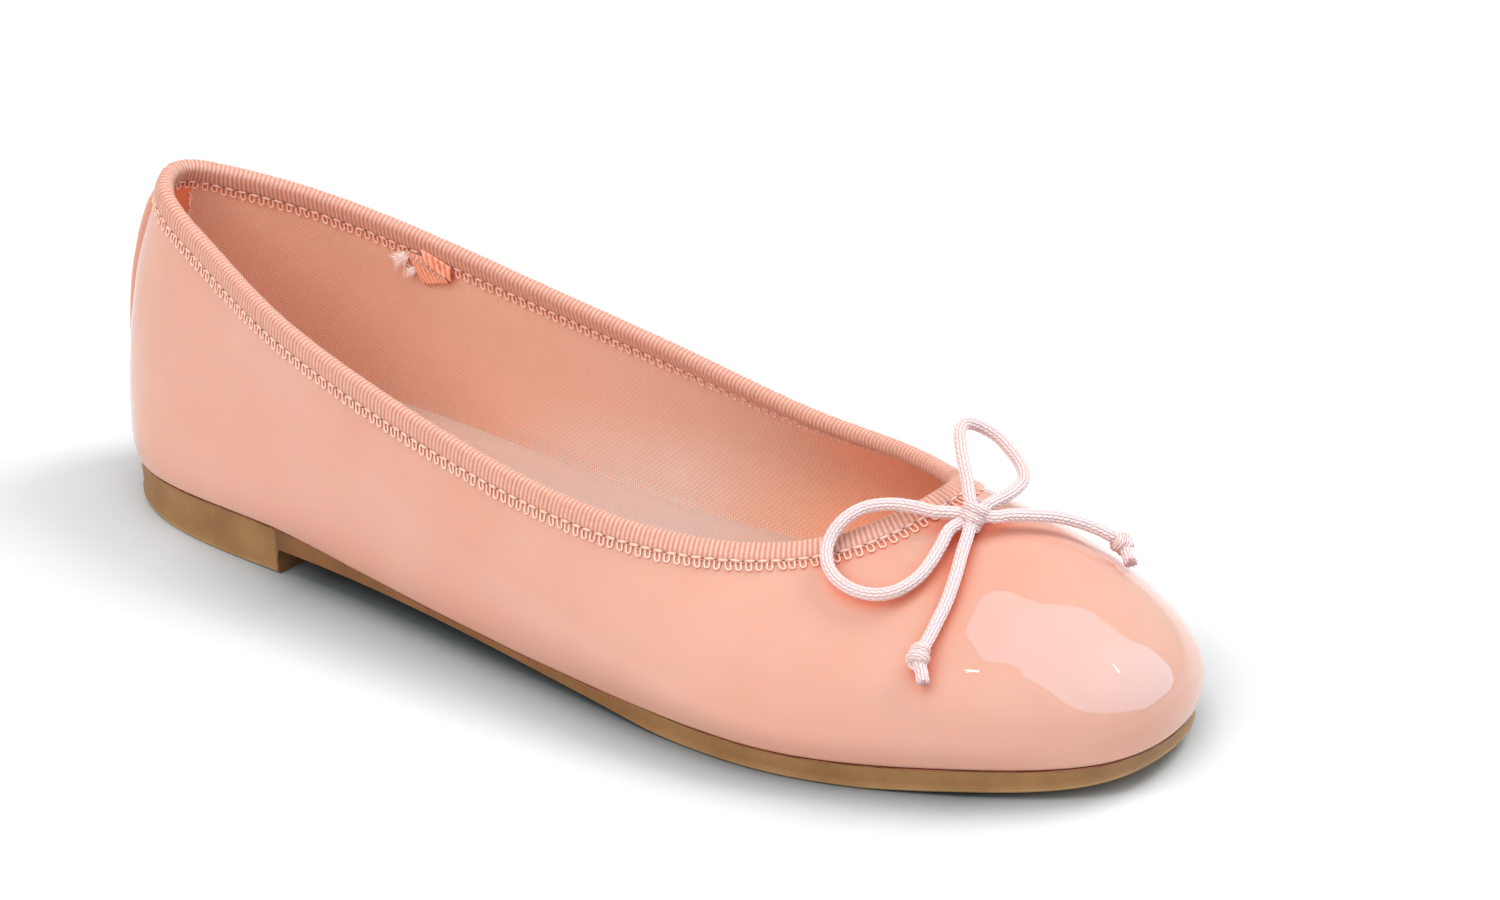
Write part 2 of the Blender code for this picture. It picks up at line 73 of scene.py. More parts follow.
# Turn of the upper under the insole
FEATHER_INSET = 2.0 * MM    # the turn's run inwards
FEATHER_DROP = 1.6 * MM     # the turn's fall
FOOT_RAISE = 0.6 * MM       # foot of the wall above the seat line
MARGIN_LEVEL = FOOT_RAISE - FEATHER_DROP      # underside of the upper from the seat line
SOLE_LEVEL = MARGIN_LEVEL - GAP               # top of the sole from the seat line
INSOLE_LEVEL = MARGIN_LEVEL + UPPER_WALL + GAP
INSOLE_TOP_LEVEL = INSOLE_LEVEL + INSOLE_THICKNESS


# Seat and sole. Reaches to either side of the centre line are percent of BALL_WIDTH, heights are
# percent of HEEL_HEIGHT. The arch is the underside of the sole from the heel breast forwards.
SEAT_COLUMNS = ("turn", "lateral", "medial", "seat", "arch")
SEAT_ROWS = (
    (0, 3.6, -3.6, 101, 47),
    (20, 25.6, 16.8, 95, 47),
    (40, 38.0, 31.0, 103, 47),
    (60, 40.6, 33.0, 101, 51),
    (80, 44.6, 34.0, 78, 44),
    (100, 49.7, 40.3, 60, 15),
    (120, 50.8, 50.6, 54, -3),
    (140, 35.1, 45.9, 62, 7),
    (160, 17.5, 31.9, 74, 24),
    (180, -4.0, 4.0, 83, 43),
)

# Collar. Reaches are percent of BALL_WIDTH. A rise of 100 is the counter's height, 0 the instep's.
COLLAR_COLUMNS = ("turn", "lateral", "medial", "lateral_rise", "medial_rise")
COLLAR_ROWS = (
    (0, 0.5, -0.5, 100, 100),
    (20, 12.2, 10.8, 90, 88),
    (40, 18.9, 20.9, 65, 71),
    (60, 28.9, 28.4, 39, 47),
    (80, 33.9, 32.6, 8, 21),
    (100, 35.7, 34.5, -19, -1),
    (120, 33.8, 33.8, -34, -18),
    (140, 24.2, 29.8, -34, -16),
    (160, 9.7, 21.7, -16, -10),
    (180, -9.0, 9.0, 0, 0),
)

# Fullness of the wall between seat and collar: how far it holds the direction in which it leaves
# each end, in percent of INSTEP_HEIGHT, and that direction's lean outwards, in degrees.
WALL_COLUMNS = ("turn", "foot_pull", "foot_lean", "top_pull", "top_lean")
WALL_ROWS = (
    (0, 29, 27, 44, 34),
    (20, 24, 17, 35, 16),
    (40, 22, 19, 30, 12),
    (60, 21, 19, 30, 11),
    (80, 19, 20, 33, 14),
    (100, 21, 24, 41, 25),
    (120, 24, 25, 50, 41),
    (140, 29, 22, 59, 57),
    (160, 33, 19, 67, 63),
    (180, 39, 18, 72, 80),
)


# Routes of the bow's cords, in millimetres from the back of the heel seat: (along, medial, up)
KNOT_CENTRE = (204.4, 1.6, 42.8)
LATERAL_LOOP_ROUTE = (
    (200.8, -0.6, 43.1), (197.9, -2.4, 43.2), (194.0, -3.7, 43.6), (190.2, -5.9, 43.8),
    (187.0, -9.2, 43.4), (185.0, -12.9, 41.8), (184.3, -16.4, 39.0), (185.7, -19.4, 36.4),
    (188.9, -21.2, 34.3), (193.3, -21.6, 33.1), (197.6, -20.4, 32.8), (200.9, -17.9, 33.6),
    (202.8, -14.2, 35.2), (203.3, -10.7, 37.1), (203.0, -6.9, 39.2), (202.5, -3.4, 41.0),
)
MEDIAL_LOOP_ROUTE = (
    (202.6, 2.8, 45.6), (200.2, 5.4, 47.4), (197.6, 7.9, 49.0), (194.6, 11.0, 50.8),
    (191.9, 14.6, 51.8), (190.4, 18.4, 51.6), (191.2, 21.8, 50.2), (194.3, 23.4, 48.3),
    (198.4, 22.4, 46.6), (202.6, 19.8, 45.5), (205.4, 16.4, 44.8), (206.4, 12.6, 44.6),
    (206.5, 9.2, 44.5), (206.1, 5.8, 44.4),
)
LATERAL_TAIL_ROUTE = (
    (206.2, -3.0, 40.2), (207.2, -5.9, 38.6), (208.8, -10.1, 36.0), (210.1, -14.7, 32.9),
    (210.8, -19.1, 30.1), (211.2, -22.0, 28.3),
)
MEDIAL_TAIL_ROUTE = (
    (208.2, 3.6, 42.7), (209.6, 6.2, 42.5), (212.3, 10.4, 41.6), (214.6, 14.9, 40.1),
    (217.2, 18.6, 38.3), (219.6, 21.0, 36.7), (221.2, 22.2, 35.6),
)
LATERAL_END_KNOT = (211.8, -25.8, 26.4)
MEDIAL_END_KNOT = (222.9, 24.4, 33.4)


# ---------------------------------------------------------------- the last

def unit(vectors):
    """The vectors at length 1."""
    return vectors / np.linalg.norm(vectors, axis=-1, keepdims=True)


def ring_spline(lateral, medial, angles):
    """Smooth closed run of one value around the shoe through its section rows, at angles in degrees."""
    values = np.concatenate([lateral, np.asarray(medial)[-2:0:-1]])
    count = len(values)
    step = 360.0 / count
    system = 4 * np.eye(count) + np.roll(np.eye(count), 1, 0) + np.roll(np.eye(count), -1, 0)
    bends = np.linalg.solve(system, 6 * (np.roll(values, 1) - 2 * values + np.roll(values, -1)))
    place = np.mod(angles, 360.0) / step
    first = np.floor(place).astype(int) % count
    second = (first + 1) % count
    u = place - np.floor(place)
    w = 1 - u
    line = w * values[first] + u * values[second]
    return line + ((w ** 3 - w) * bends[first] + (u ** 3 - u) * bends[second]) / 6


def column(columns, rows, name):
    """One named column of a section table."""
    return np.array([row[columns.index(name)] for row in rows], float)


def around(columns, rows, lateral, medial, scale, angles):
    """A pair of columns as a smooth run around the shoe, each value times the scale."""
    return ring_spline(*[column(columns, rows, name) * scale for name in (lateral, medial)], angles)


def along(name, x):
    """A height of the seat table at a distance from the back of the heel."""
    share = np.clip(1 - 2 * np.asarray(x) / LENGTH, -1, 1)
    angles = np.degrees(np.arccos(share))
    return around(SEAT_COLUMNS, SEAT_ROWS, name, name, HEEL_HEIGHT / 100, angles)


def outward(loop):
    """Level outward directions of a closed run that goes round from the heel by the lateral side."""
    run = np.roll(loop, -1, 0) - np.roll(loop, 1, 0)
    return unit(np.stack([run[:, 1], -run[:, 0], np.zeros(len(run))], -1))


def side(columns, rows, angles):
    """Side reach around the shoe, negative on the lateral side."""
    lateral = -column(columns, rows, "lateral") * BALL_WIDTH / 100
    medial = column(columns, rows, "medial") * BALL_WIDTH / 100
    return ring_spline(lateral, medial, angles)


def seat_line(angles):
    """The line around the last where upper and sole meet."""
    x = LENGTH / 2 * (1 - np.cos(np.radians(angles)))
    return np.stack([x, side(SEAT_COLUMNS, SEAT_ROWS, angles), along("seat", x)], -1)


def collar_line(angles):
    """The top of the bound collar."""
    throat = LENGTH - VAMP_LENGTH
    x = COLLAR_SETBACK + (throat - COLLAR_SETBACK) / 2 * (1 - np.cos(np.radians(angles)))
    rise = around(COLLAR_COLUMNS, COLLAR_ROWS, "lateral_rise", "medial_rise", 0.01, angles)
    z = INSTEP_HEIGHT + rise * (COUNTER_HEIGHT - INSTEP_HEIGHT)
    return np.stack([x, side(COLLAR_COLUMNS, COLLAR_ROWS, angles), z], -1)


def wall_surface(angles, steps):
    """Outer face of the upper from the foot of its wall to its top edge: points[step, strand]."""
    seat = seat_line(angles)
    collar = collar_line(angles)
    foot_out = outward(seat)
    top_out = outward(collar)
    up = np.array([0.0, 0.0, 1.0])
    foot = seat + FOOT_RAISE * up
    bound_edge = BINDING_THICKNESS + BINDING_CROWN
    top = collar + UPPER_WALL / 2 * top_out - bound_edge * up
    pulls = [around(WALL_COLUMNS, WALL_ROWS, name, name, INSTEP_HEIGHT / 100, angles)[:, None]
             for name in ("foot_pull", "top_pull")]
    leans = [around(WALL_COLUMNS, WALL_ROWS, name, name, math.pi / 180, angles)[:, None]
             for name in ("foot_lean", "top_lean")]
    low = foot + pulls[0] * (np.sin(leans[0]) * foot_out + np.cos(leans[0]) * up)
    high = top + pulls[1] * (np.sin(leans[1]) * top_out - np.cos(leans[1]) * up)
    v = np.linspace(0, 1, steps)[:, None, None]
    w = 1 - v
    return w ** 3 * foot + 3 * w ** 2 * v * low + 3 * w * v ** 2 * high + v ** 3 * top


def surface_normals(points):
    """Outward normals of a surface of closed rows, points[step, strand]."""
    across = np.roll(points, -1, 1) - np.roll(points, 1, 1)
    return unit(np.cross(across, np.gradient(points, axis=0)))


def read_at(places, run, values):
    """Rows of values, which are known at lengths run, at other places along it."""
    return np.stack([np.interp(places, run, values[:, axis]) for axis in range(3)], -1)


def at_lengths(points, lengths, wanted):
    """Values of points[step, strand] at wanted[row, strand] lengths up each strand."""
    strands = range(points.shape[1])
    return np.stack([read_at(wanted[:, i], lengths[:, i], points[:, i]) for i in strands], 1)


def inset(loop, distance, level):
    """A closed run moved inwards in plan, at a level from the seat's height where it then lies."""
    moved = loop - distance * outward(loop)
    moved[:, 2] = along("seat", moved[:, 0]) + level
    return moved


def box_centre(node):
    """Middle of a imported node's box."""
    low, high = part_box(node)
    return (np.array(low) + np.array(high)) / 2


# The source's own coordinates start at the back of the heel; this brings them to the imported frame
ROOT = box_centre("bow_knot") - np.array(KNOT_CENTRE) * MM


# ---------------------------------------------------------------- camera

CAMERA_AZIMUTH = 37.8       # degrees round from straight at the outer side, towards the toe
CAMERA_ELEVATION = 24.79
CAMERA_ROLL = -0.39
CAMERA_DISTANCE = 1.049
CAMERA_TARGET = (140.8 * MM, 15.36 * MM, 33.46 * MM)    # from the back of the heel
SENSOR_WIDTH = 36.0
LENS = 127.94


def add_object(name, data, at=None):
    """An object of the scene."""
    made = bpy.data.objects.new(name, data)
    bpy.context.scene.collection.objects.link(made)
    if at is not None:
        made.matrix_world = at
    return made


def placed(across, upright, back, place):
    """The matrix of an object from its three axes and its place."""
    return Matrix([[across[i], upright[i], back[i], place[i]] for i in range(3)] + [[0, 0, 0, 1]])


def make_camera():
    """The camera, at the angle from which the pair was taken."""
    data = bpy.data.cameras.new("camera")
    data.sensor_fit = "HORIZONTAL"
    data.sensor_width = SENSOR_WIDTH
    data.lens = LENS
    data.clip_start = 0.05
    data.clip_end = 30
    turn = math.radians(CAMERA_AZIMUTH)
    rise = math.radians(CAMERA_ELEVATION)
    roll = math.radians(CAMERA_ROLL)
    back = np.array([math.sin(turn) * math.cos(rise), -math.cos(turn) * math.cos(rise), math.sin(rise)])
    right = np.array([math.cos(turn), math.sin(turn), 0.0])
    up = np.cross(back, right)
    across = math.cos(roll) * right + math.sin(roll) * up
    upright = -math.sin(roll) * right + math.cos(roll) * up
    place = np.array(CAMERA_TARGET) + ROOT + CAMERA_DISTANCE * back
    bpy.context.scene.camera = add_object("camera", data, placed(across, upright, back, place))


# ---------------------------------------------------------------- meshes

def grid_faces(count_rows, count_columns, wrap_rows, wrap_columns):
    """Corner indexes (row, column) of a grid's quads, and the row and column that each starts from."""
    rows = np.arange(count_rows if wrap_rows else count_rows - 1)
    columns = np.arange(count_columns if wrap_columns else count_columns - 1)
    r, c = [each.ravel() for each in np.meshgrid(rows, columns, indexing="ij")]
    next_r = (r + 1) % count_rows
    next_c = (c + 1) % count_columns
    quads = [r * count_columns + c, r * count_columns + next_c,
             next_r * count_columns + next_c, next_r * count_columns + c]
    return np.stack(quads, -1), r, c


def run_of(points, axis, closed):
    """Length run along an axis of a grid of points, with one more entry where it closes."""
    steps = np.linalg.norm(np.diff(points, axis=axis), axis=-1)
    if closed:
        last = np.take(points, [0], axis) - np.take(points, [-1], axis)
        steps = np.concatenate([steps, np.linalg.norm(last, axis=-1)], axis)
    start = np.zeros_like(np.take(steps, [0], axis))
    return np.concatenate([start, np.cumsum(steps, axis=axis)], axis)


def new_mesh(name, points, faces):
    """A mesh from points in the source's coordinates."""
    mesh = bpy.data.meshes.new(name)
    mesh.from_pydata((points + ROOT).tolist(), [], faces)
    return mesh


def grid_piece(name, points, finishes, wrap_columns=True, wrap_rows=False, uv=None, slots=None,
               relief=None):
    """A piece whose surface runs through points[row, column] in the source's coordinates.

    uv[row, column] is in metres, so that a weave has its real size. slots gives each row of faces
    its material. relief, from 0 to 1 at each point, lets a material paint shade on what lies low.
    """
    count_rows, count_columns = points.shape[:2]
    quads, r, c = grid_faces(count_rows, count_columns, wrap_rows, wrap_columns)
    mesh = new_mesh(name, points.reshape(-1, 3), quads.tolist())
    if uv is not None:
        corners = uv[np.stack([r, r, r + 1, r + 1], -1), np.stack([c, c + 1, c + 1, c], -1)]
        layer = mesh.uv_layers.new(name="UVMap")
        layer.data.foreach_set("uv", corners.astype(np.float32).ravel())
    if slots is not None:
        mesh.polygons.foreach_set("material_index", np.asarray(slots)[r].astype(np.int32))
    if relief is not None:
        layer = mesh.attributes.new("relief", "FLOAT", "POINT")
        layer.data.foreach_set("value", np.asarray(relief, np.float32).ravel())
    return add_piece(name, mesh, finishes)


def add_piece(name, mesh, finishes):
    """An object of the shoe with its materials, smooth, riding on the one body."""
    for finish in finishes:
        mesh.materials.append(finish)
    mesh.shade_smooth()
    piece = add_object(name, mesh)
    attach(piece, "root")
    return piece


def catmull_rom(points, samples):
    """A smooth curve through the points."""
    ends = [2 * points[0] - points[1], *points, 2 * points[-1] - points[-2]]
    curve = []
    for before, start, end, after in zip(ends, ends[1:], ends[2:], ends[3:]):
        for u in np.arange(samples) / samples:
            curve.append(0.5 * (2 * start + (end - before) * u
                                + (2 * before - 5 * start + 4 * end - after) * u ** 2
                                + (3 * start - before - 3 * end + after) * u ** 3))
    curve.append(points[-1])
    return np.array(curve)


def evenly_spaced(curve, spacing):
    """Points along a curve at an even spacing close to the one wanted."""
    run = run_of(curve, 0, False)
    count = max(2, round(run[-1] / spacing) + 1)
    return read_at(np.linspace(0, run[-1], count), run, curve)


def frames_along(curve):
    """Two directions square to a curve at each of its points, which turn with it as little as can be."""
    tangents = unit(np.gradient(curve, axis=0))
    first = np.cross(tangents[0], (0.0, 0.0, 1.0))
    if np.linalg.norm(first) < 0.1:
        first = np.cross(tangents[0], (0.0, 1.0, 0.0))
    sides = [unit(first)]
    for tangent in tangents[1:]:
        sides.append(unit(sides[-1] - np.dot(sides[-1], tangent) * tangent))
    return np.array(sides), np.cross(tangents, sides)


# ---------------------------------------------------------------- materials

def new_material(name, base, roughness, **constants):
    """A Principled material, its tree, and its shader. The constants are set on the shader itself."""
    made = bpy.data.materials.new(name)
    made.use_nodes = True
    made.diffuse_color = (*base, 1.0)
    shader = made.node_tree.nodes["Principled BSDF"]
    shader.inputs["Base Color"].default_value = (*base, 1.0)
    shader.inputs["Roughness"].default_value = roughness
    for key, value in constants.items():
        shader.inputs[key.replace("_", " ").title().replace("Ior", "IOR")].default_value = value
    return made, made.node_tree, shader


def add_node(tree, kind, **settings):
    """A node with its settings; a name that isn't a setting of the node is one of its inputs."""
    made = tree.nodes.new("ShaderNode" + kind)
    for key, value in settings.items():
        if hasattr(made, key):
            setattr(made, key, value)
        else:
            made.inputs[key.replace("_", " ").title()].default_value = value
    return made


def link(tree, source, target):
    """Join two sockets."""
    tree.links.new(source, target)


def arithmetic(tree, operation, *values):
    """A Math node's output, from sockets and numbers."""
    made = tree.nodes.new("ShaderNodeMath")
    made.operation = operation
    for socket, value in zip(made.inputs, values):
        if isinstance(value, (int, float)):
            socket.default_value = value
        else:
            link(tree, value, socket)
    return made.outputs[0]


def own_place(tree):
    """Where a spot of the object lies, in the object's own coordinates."""
    return tree.nodes.new("ShaderNodeTexCoord").outputs["Object"]


def split_axes(tree, vector):
    """The three values of a vector."""
    made = tree.nodes.new("ShaderNodeSeparateXYZ")
    link(tree, vector, made.inputs[0])
    return made.outputs


def noise(tree, scale, detail=2.0, roughness=0.5):
    """Noise over the object, features about 1 / scale metres across."""
    made = add_node(tree, "TexNoise", scale=scale, detail=detail, roughness=roughness)
    link(tree, own_place(tree), made.inputs["Vector"])
    return made.outputs["Fac"]


def ramp(tree, value, stops):
    """A colour for each value, from (value, colour) stops."""
    made = tree.nodes.new("ShaderNodeValToRGB")
    elements = made.color_ramp.elements
    while len(elements) < len(stops):
        elements.new(0.5)
    for element, (place, color) in zip(elements, stops):
        element.position = place
        element.color = (*color, 1.0)
    link(tree, value, made.inputs["Fac"])
    return made.outputs["Color"]


def mix_color(tree, share, first, second, blend="MIX"):
    """Two colours mixed by a share, each a socket or a colour."""
    made = tree.nodes.new("ShaderNodeMix")
    made.data_type = "RGBA"
    made.blend_type = blend
    sockets = {socket.identifier: socket for socket in made.inputs}
    for key, value in (("Factor_Float", share), ("A_Color", first), ("B_Color", second)):
        if isinstance(value, (int, float)):
            sockets[key].default_value = value
        elif isinstance(value, tuple):
            sockets[key].default_value = (*value, 1.0)
        else:
            link(tree, value, sockets[key])
    return made.outputs[2]


def tint(tree, first, second):
    """One colour times another."""
    return mix_color(tree, 1.0, first, second, "MULTIPLY")


def mottle(tree, pattern, dark, light, top=0.7):
    """Two shades by a pattern of noise, the light one from its value top upwards."""
    return ramp(tree, pattern, [(0.3, dark), (top, light)])


def darker(color, share):
    """A colour at a share of its brightness."""
    return tuple(share * part for part in color)


def painted_shade_by_openness(tree, reach, stops, samples=6):
    """A colour of painted shade for each spot by how open it is to its surroundings within reach, from 0 to
    1.
    """
    near = add_node(tree, "AmbientOcclusion", samples=samples, distance=reach)
    return ramp(tree, near.outputs["AO"], stops)


def bump(tree, shader, height, distance, strength, socket="Normal"):
    """Relief by shading alone, up to distance deep."""
    made = tree.nodes.new("ShaderNodeBump")
    made.inputs["Distance"].default_value = distance
    made.inputs["Strength"].default_value = strength
    link(tree, height, made.inputs["Height"])
    link(tree, made.outputs["Normal"], shader.inputs[socket])


def read_relief(tree):
    """The relief that grid_piece keeps at each point."""
    made = tree.nodes.new("ShaderNodeAttribute")
    made.attribute_name = "relief"
    return made.outputs["Fac"]


CORAL = (0.62, 0.302, 0.216)
CORAL_PALE = (0.635, 0.358, 0.274)
CORAL_PAINTED_SHADE = (0.80, 0.175, 0.085)      # painted shade, where things lie close over the leather
CLOTH = (0.85, 0.475, 0.32)
# The weave's light and dark below are painted light on the threads' tops and painted shade in their hollows
CLOTH_THREAD_LIGHT = (0.96, 0.66, 0.50)
CLOTH_HOLLOW_SHADE = (0.82, 0.24, 0.12)
CLOTH_PAINTED_SHADE = (0.86, 0.24, 0.10)      # painted shade, where the tape and its yarn lie close over the lining
SOCK = (0.77, 0.510, 0.400)
# Painted light on the sock's thread tops and painted shade in their hollows
SOCK_THREAD_LIGHT = (0.88, 0.66, 0.55)
SOCK_HOLLOW_SHADE = (0.62, 0.30, 0.22)
# The tape's shades by the relief of its ribs: painted shade on their sides and in the grooves, painted light
# on their crests
TAPE = (0.60, 0.295, 0.212)
TAPE_CREST_LIGHT = (0.67, 0.42, 0.33)
TAPE_SIDE_SHADE = (0.59, 0.23, 0.15)
TAPE_GROOVE_SHADE = (0.59, 0.18, 0.105)
# The same tape brighter and more saturated, painted light for its loose ends inside the shoe, with the ribs'
# painted shade and light
INSIDE_LIT_TAPE_SHADES = ((0.80, 0.16, 0.075), (0.86, 0.27, 0.15), (0.92, 0.40, 0.255), (0.98, 0.52, 0.36))
PICOT = (0.95, 0.57, 0.45)
THREAD = (0.94, 0.57, 0.45)
CORD = (0.82, 0.665, 0.62)
# Painted shade where the braid's strands dive, half way and deepest
CORD_HALF_SHADE = (0.73, 0.505, 0.475)
CORD_DIVE_SHADE = (0.56, 0.30, 0.30)
RUBBER = (0.29, 0.138, 0.047)
RUBBER_PALE = (0.35, 0.180, 0.068)
RUBBER_EDGE = (0.396, 0.216, 0.084)
RUBBER_EDGE_PALE = (0.486, 0.29, 0.126)
BACKING = (0.88, 0.25, 0.11)
FLUFF = (1.0, 0.80, 0.72)
GLUE = (0.40, 0.12, 0.055)
# Painted shade of the needle holes
HOLE_SHADE = (0.20, 0.05, 0.03)
WHITE = (1.0, 1.0, 1.0)
BLACK = (0.0, 0.0, 0.0)
# How strongly painted shade reddens the patent under what lies on it, at places from the back of the heel
PAINTED_SHADE_PLACES = ((0.0, WHITE), (0.008, WHITE), (0.014, (0.12, 0.12, 0.12)), (0.172, (0.12, 0.12, 0.12)),
                (0.188, WHITE), (0.25, WHITE))
# Tint of the lining at places from the back of the heel, as painted light: paler at the ball, deep and
# saturated under the vamp, where light bounces about inside
CLOTH_BOUNCE_TINTS = ((0.0, WHITE), (0.06, WHITE), (0.125, (0.96, 1.0, 1.05)), (0.138, (0.98, 0.99, 1.0)),
                (0.155, (1.15, 0.96, 0.84)), (0.25, (1.15, 0.96, 0.84)))
# The lining is paler near the sock, by height, where the light comes in: over this stretch of the shoe
CLOTH_FOOT = ((0.008, (0.98, 1.22, 1.42)), (0.015, (0.98, 1.18, 1.34)), (0.026, WHITE))
CLOTH_FOOT_REACH = ((0.067, BLACK), (0.086, WHITE), (0.112, WHITE), (0.132, BLACK))
CLOTH_PAINTED_SHADE_PLACES = ((0.014, BLACK), (0.024, WHITE))     # no painted shade from the sock on the lining
# Painted shade on the sole's rubber along it: dark on the heel breast and deeper and redder at the waist,
# which lie in shadow; a little paler towards the toe
SOLE_PAINTED_SHADE = ((0.0, WHITE), (0.0558, WHITE), (0.0561, (0.55, 0.47, 0.42)), (0.058, (0.60, 0.52, 0.46)),
                (0.062, (0.80, 0.66, 0.60)), (0.115, (0.80, 0.66, 0.60)), (0.165, WHITE),
                (0.25, (1.08, 1.06, 1.05)))
# How much paler the patent is drawn at the floor, where it gets little light, by its height
FOOT_GLOW = ((0.0, (1.13, 1.01, 0.96)), (0.018, WHITE))


def along_ramp(tree, stops, axis=0):
    """Colours along one axis of the shoe, from (place from the heel's back or the floor, colour) stops."""
    start = stops[0][0]
    run = stops[-1][0] - start
    place = arithmetic(tree, "SUBTRACT", split_axes(tree, own_place(tree))[axis], ROOT[axis] + start)
    share = arithmetic(tree, "DIVIDE", place, run)
    return ramp(tree, share, [((x - start) / run, color) for x, color in stops])


def patent_leather():
    """Coated coral leather: a soft colour under a clear, almost mirror-smooth coat."""
    made, tree, shader = new_material("patent_leather", CORAL, 0.45, coat_weight=1.0,
                                      coat_roughness=0.02, coat_ior=1.4, specular_ior_level=0.1,
                                      subsurface_weight=0.4, subsurface_scale=0.0025,
                                      subsurface_radius=(1.0, 0.22, 0.12))
    # Random blotches, times painted light that draws the foot of the wall paler, where little light reaches
    blotches_and_foot_light = tint(tree, mottle(tree, noise(tree, 28.0), CORAL, CORAL_PALE, 0.75),
                    along_ramp(tree, FOOT_GLOW, 2))
    # Painted shade: the patent drawn deeper and redder where cords, yarn and tape lie close over it
    painted_shade = tint(tree, painted_shade_by_openness(tree, 4.5 * MM, [(0.28, WHITE), (0.88, BLACK)]),
                 along_ramp(tree, PAINTED_SHADE_PLACES))
    link(tree, mix_color(tree, painted_shade, blotches_and_foot_light, CORAL_PAINTED_SHADE), shader.inputs["Base Color"])
    bump(tree, shader, noise(tree, 420.0, 3.0), 0.02 * MM, 0.5)
    bump(tree, shader, noise(tree, 95.0, 1.0), 0.10 * MM, 0.25, "Coat Normal")
    return made


def plain_finish(name, base, roughness, shade, pattern, grain=None, **constants):
    """A colour mottled down to a shade of it. The grain is a noise, its depth and its strength."""
    made, tree, shader = new_material(name, base, roughness, **constants)
    link(tree, mottle(tree, noise(tree, *pattern), darker(base, shade), base), shader.inputs["Base Color"])
    if grain is not None:
        grains, depth, strength = grain
        bump(tree, shader, noise(tree, *grains), depth, strength)
    return made


def woven_cloth(name, pitch, base, light, dark, pale_foot=False):
    """Plain weave drawn over a piece's UVs, which are in metres, with painted light on the threads' tops and
    painted shade in their hollows.
    """
    made, tree, shader = new_material(name, base, 0.85, sheen_weight=0.3, sheen_roughness=0.5)
    across = split_axes(tree, add_node(tree, "UVMap", uv_map="UVMap").outputs["UV"])
    sway = arithmetic(tree, "MULTIPLY_ADD", noise(tree, 260.0), 0.5, -0.25)
    threads = [arithmetic(tree, "MULTIPLY_ADD", across[axis], 1 / pitch, sway) for axis in (0, 1)]
    rounds = [arithmetic(tree, "MULTIPLY", value, math.pi) for value in threads]
    rounds = [arithmetic(tree, "ABSOLUTE", arithmetic(tree, "SINE", value)) for value in rounds]
    cells = [arithmetic(tree, "FLOOR", value) for value in threads]
    turn = arithmetic(tree, "ABSOLUTE", arithmetic(tree, "MODULO", arithmetic(tree, "ADD", *cells), 2.0))
    warp, weft = [arithmetic(tree, "MULTIPLY", arithmetic(tree, "POWER", first, 0.8),
                             arithmetic(tree, "POWER", second, 0.35))
                  for first, second in (rounds, rounds[::-1])]
    under = arithmetic(tree, "SUBTRACT", 1.0, turn)
    height = arithmetic(tree, "MULTIPLY_ADD", warp, turn, arithmetic(tree, "MULTIPLY", weft, under))
    shade = arithmetic(tree, "MULTIPLY_ADD", turn, 0.18, arithmetic(tree, "MULTIPLY", height, 0.82))
    # Painted light on the threads' tops, painted shade in the hollows between them
    weave = ramp(tree, shade, [(0.18, dark), (0.50, base), (0.92, light)])
    cloth = tint(tree, weave, mottle(tree, noise(tree, 60.0, 4.0, 0.65), (0.98, 0.94, 0.92), WHITE))
    # Painted light: paler at the ball, deep and saturated under the vamp
    cloth = tint(tree, cloth, along_ramp(tree, CLOTH_BOUNCE_TINTS))
    if pale_foot:
        reach = along_ramp(tree, CLOTH_FOOT_REACH)
        cloth = mix_color(tree, reach, cloth, along_ramp(tree, CLOTH_FOOT, 2), "MULTIPLY")
    # Painted shade where the tape and its yarn lie close over the lining
    painted_shade = tint(tree, painted_shade_by_openness(tree, 2.2 * MM, [(0.30, WHITE), (0.85, BLACK)]),
                 along_ramp(tree, CLOTH_PAINTED_SHADE_PLACES, 2))
    link(tree, mix_color(tree, painted_shade, cloth, CLOTH_PAINTED_SHADE), shader.inputs["Base Color"])
    bump(tree, shader, height, 0.10 * MM, 0.9)
    return made


def ribbed_tape(name, shades):
    """Woven tape: its ribs are modelled; painted shade darkens their sides and grooves, painted light their
    crests.
    """
    made, tree, shader = new_material(name, shades[2], 0.6, sheen_weight=0.25, sheen_roughness=0.4)
    # Painted shade low in the relief, painted light on the crests
    depth = ramp(tree, read_relief(tree), list(zip((0.0, 0.35, 0.75, 1.0), shades)))
    yarn = noise(tree, 1900.0)
    fibres = mottle(tree, yarn, (0.88, 0.86, 0.84), (1.05, 1.05, 1.05))
    link(tree, tint(tree, depth, fibres), shader.inputs["Base Color"])
    bump(tree, shader, yarn, 0.05 * MM, 0.6)
    return made


def sewing_thread(name, base, glow=0.0):
    """Fine twisted thread. Its glow stands for the light that loose fibres let through."""
    twist = (2600.0, 1.0)
    return plain_finish(name, base, 0.5, 0.8, twist, (twist, 0.04 * MM, 0.5), sheen_weight=0.1,
                        sheen_roughness=0.4, emission_color=(*base, 1.0), emission_strength=glow)


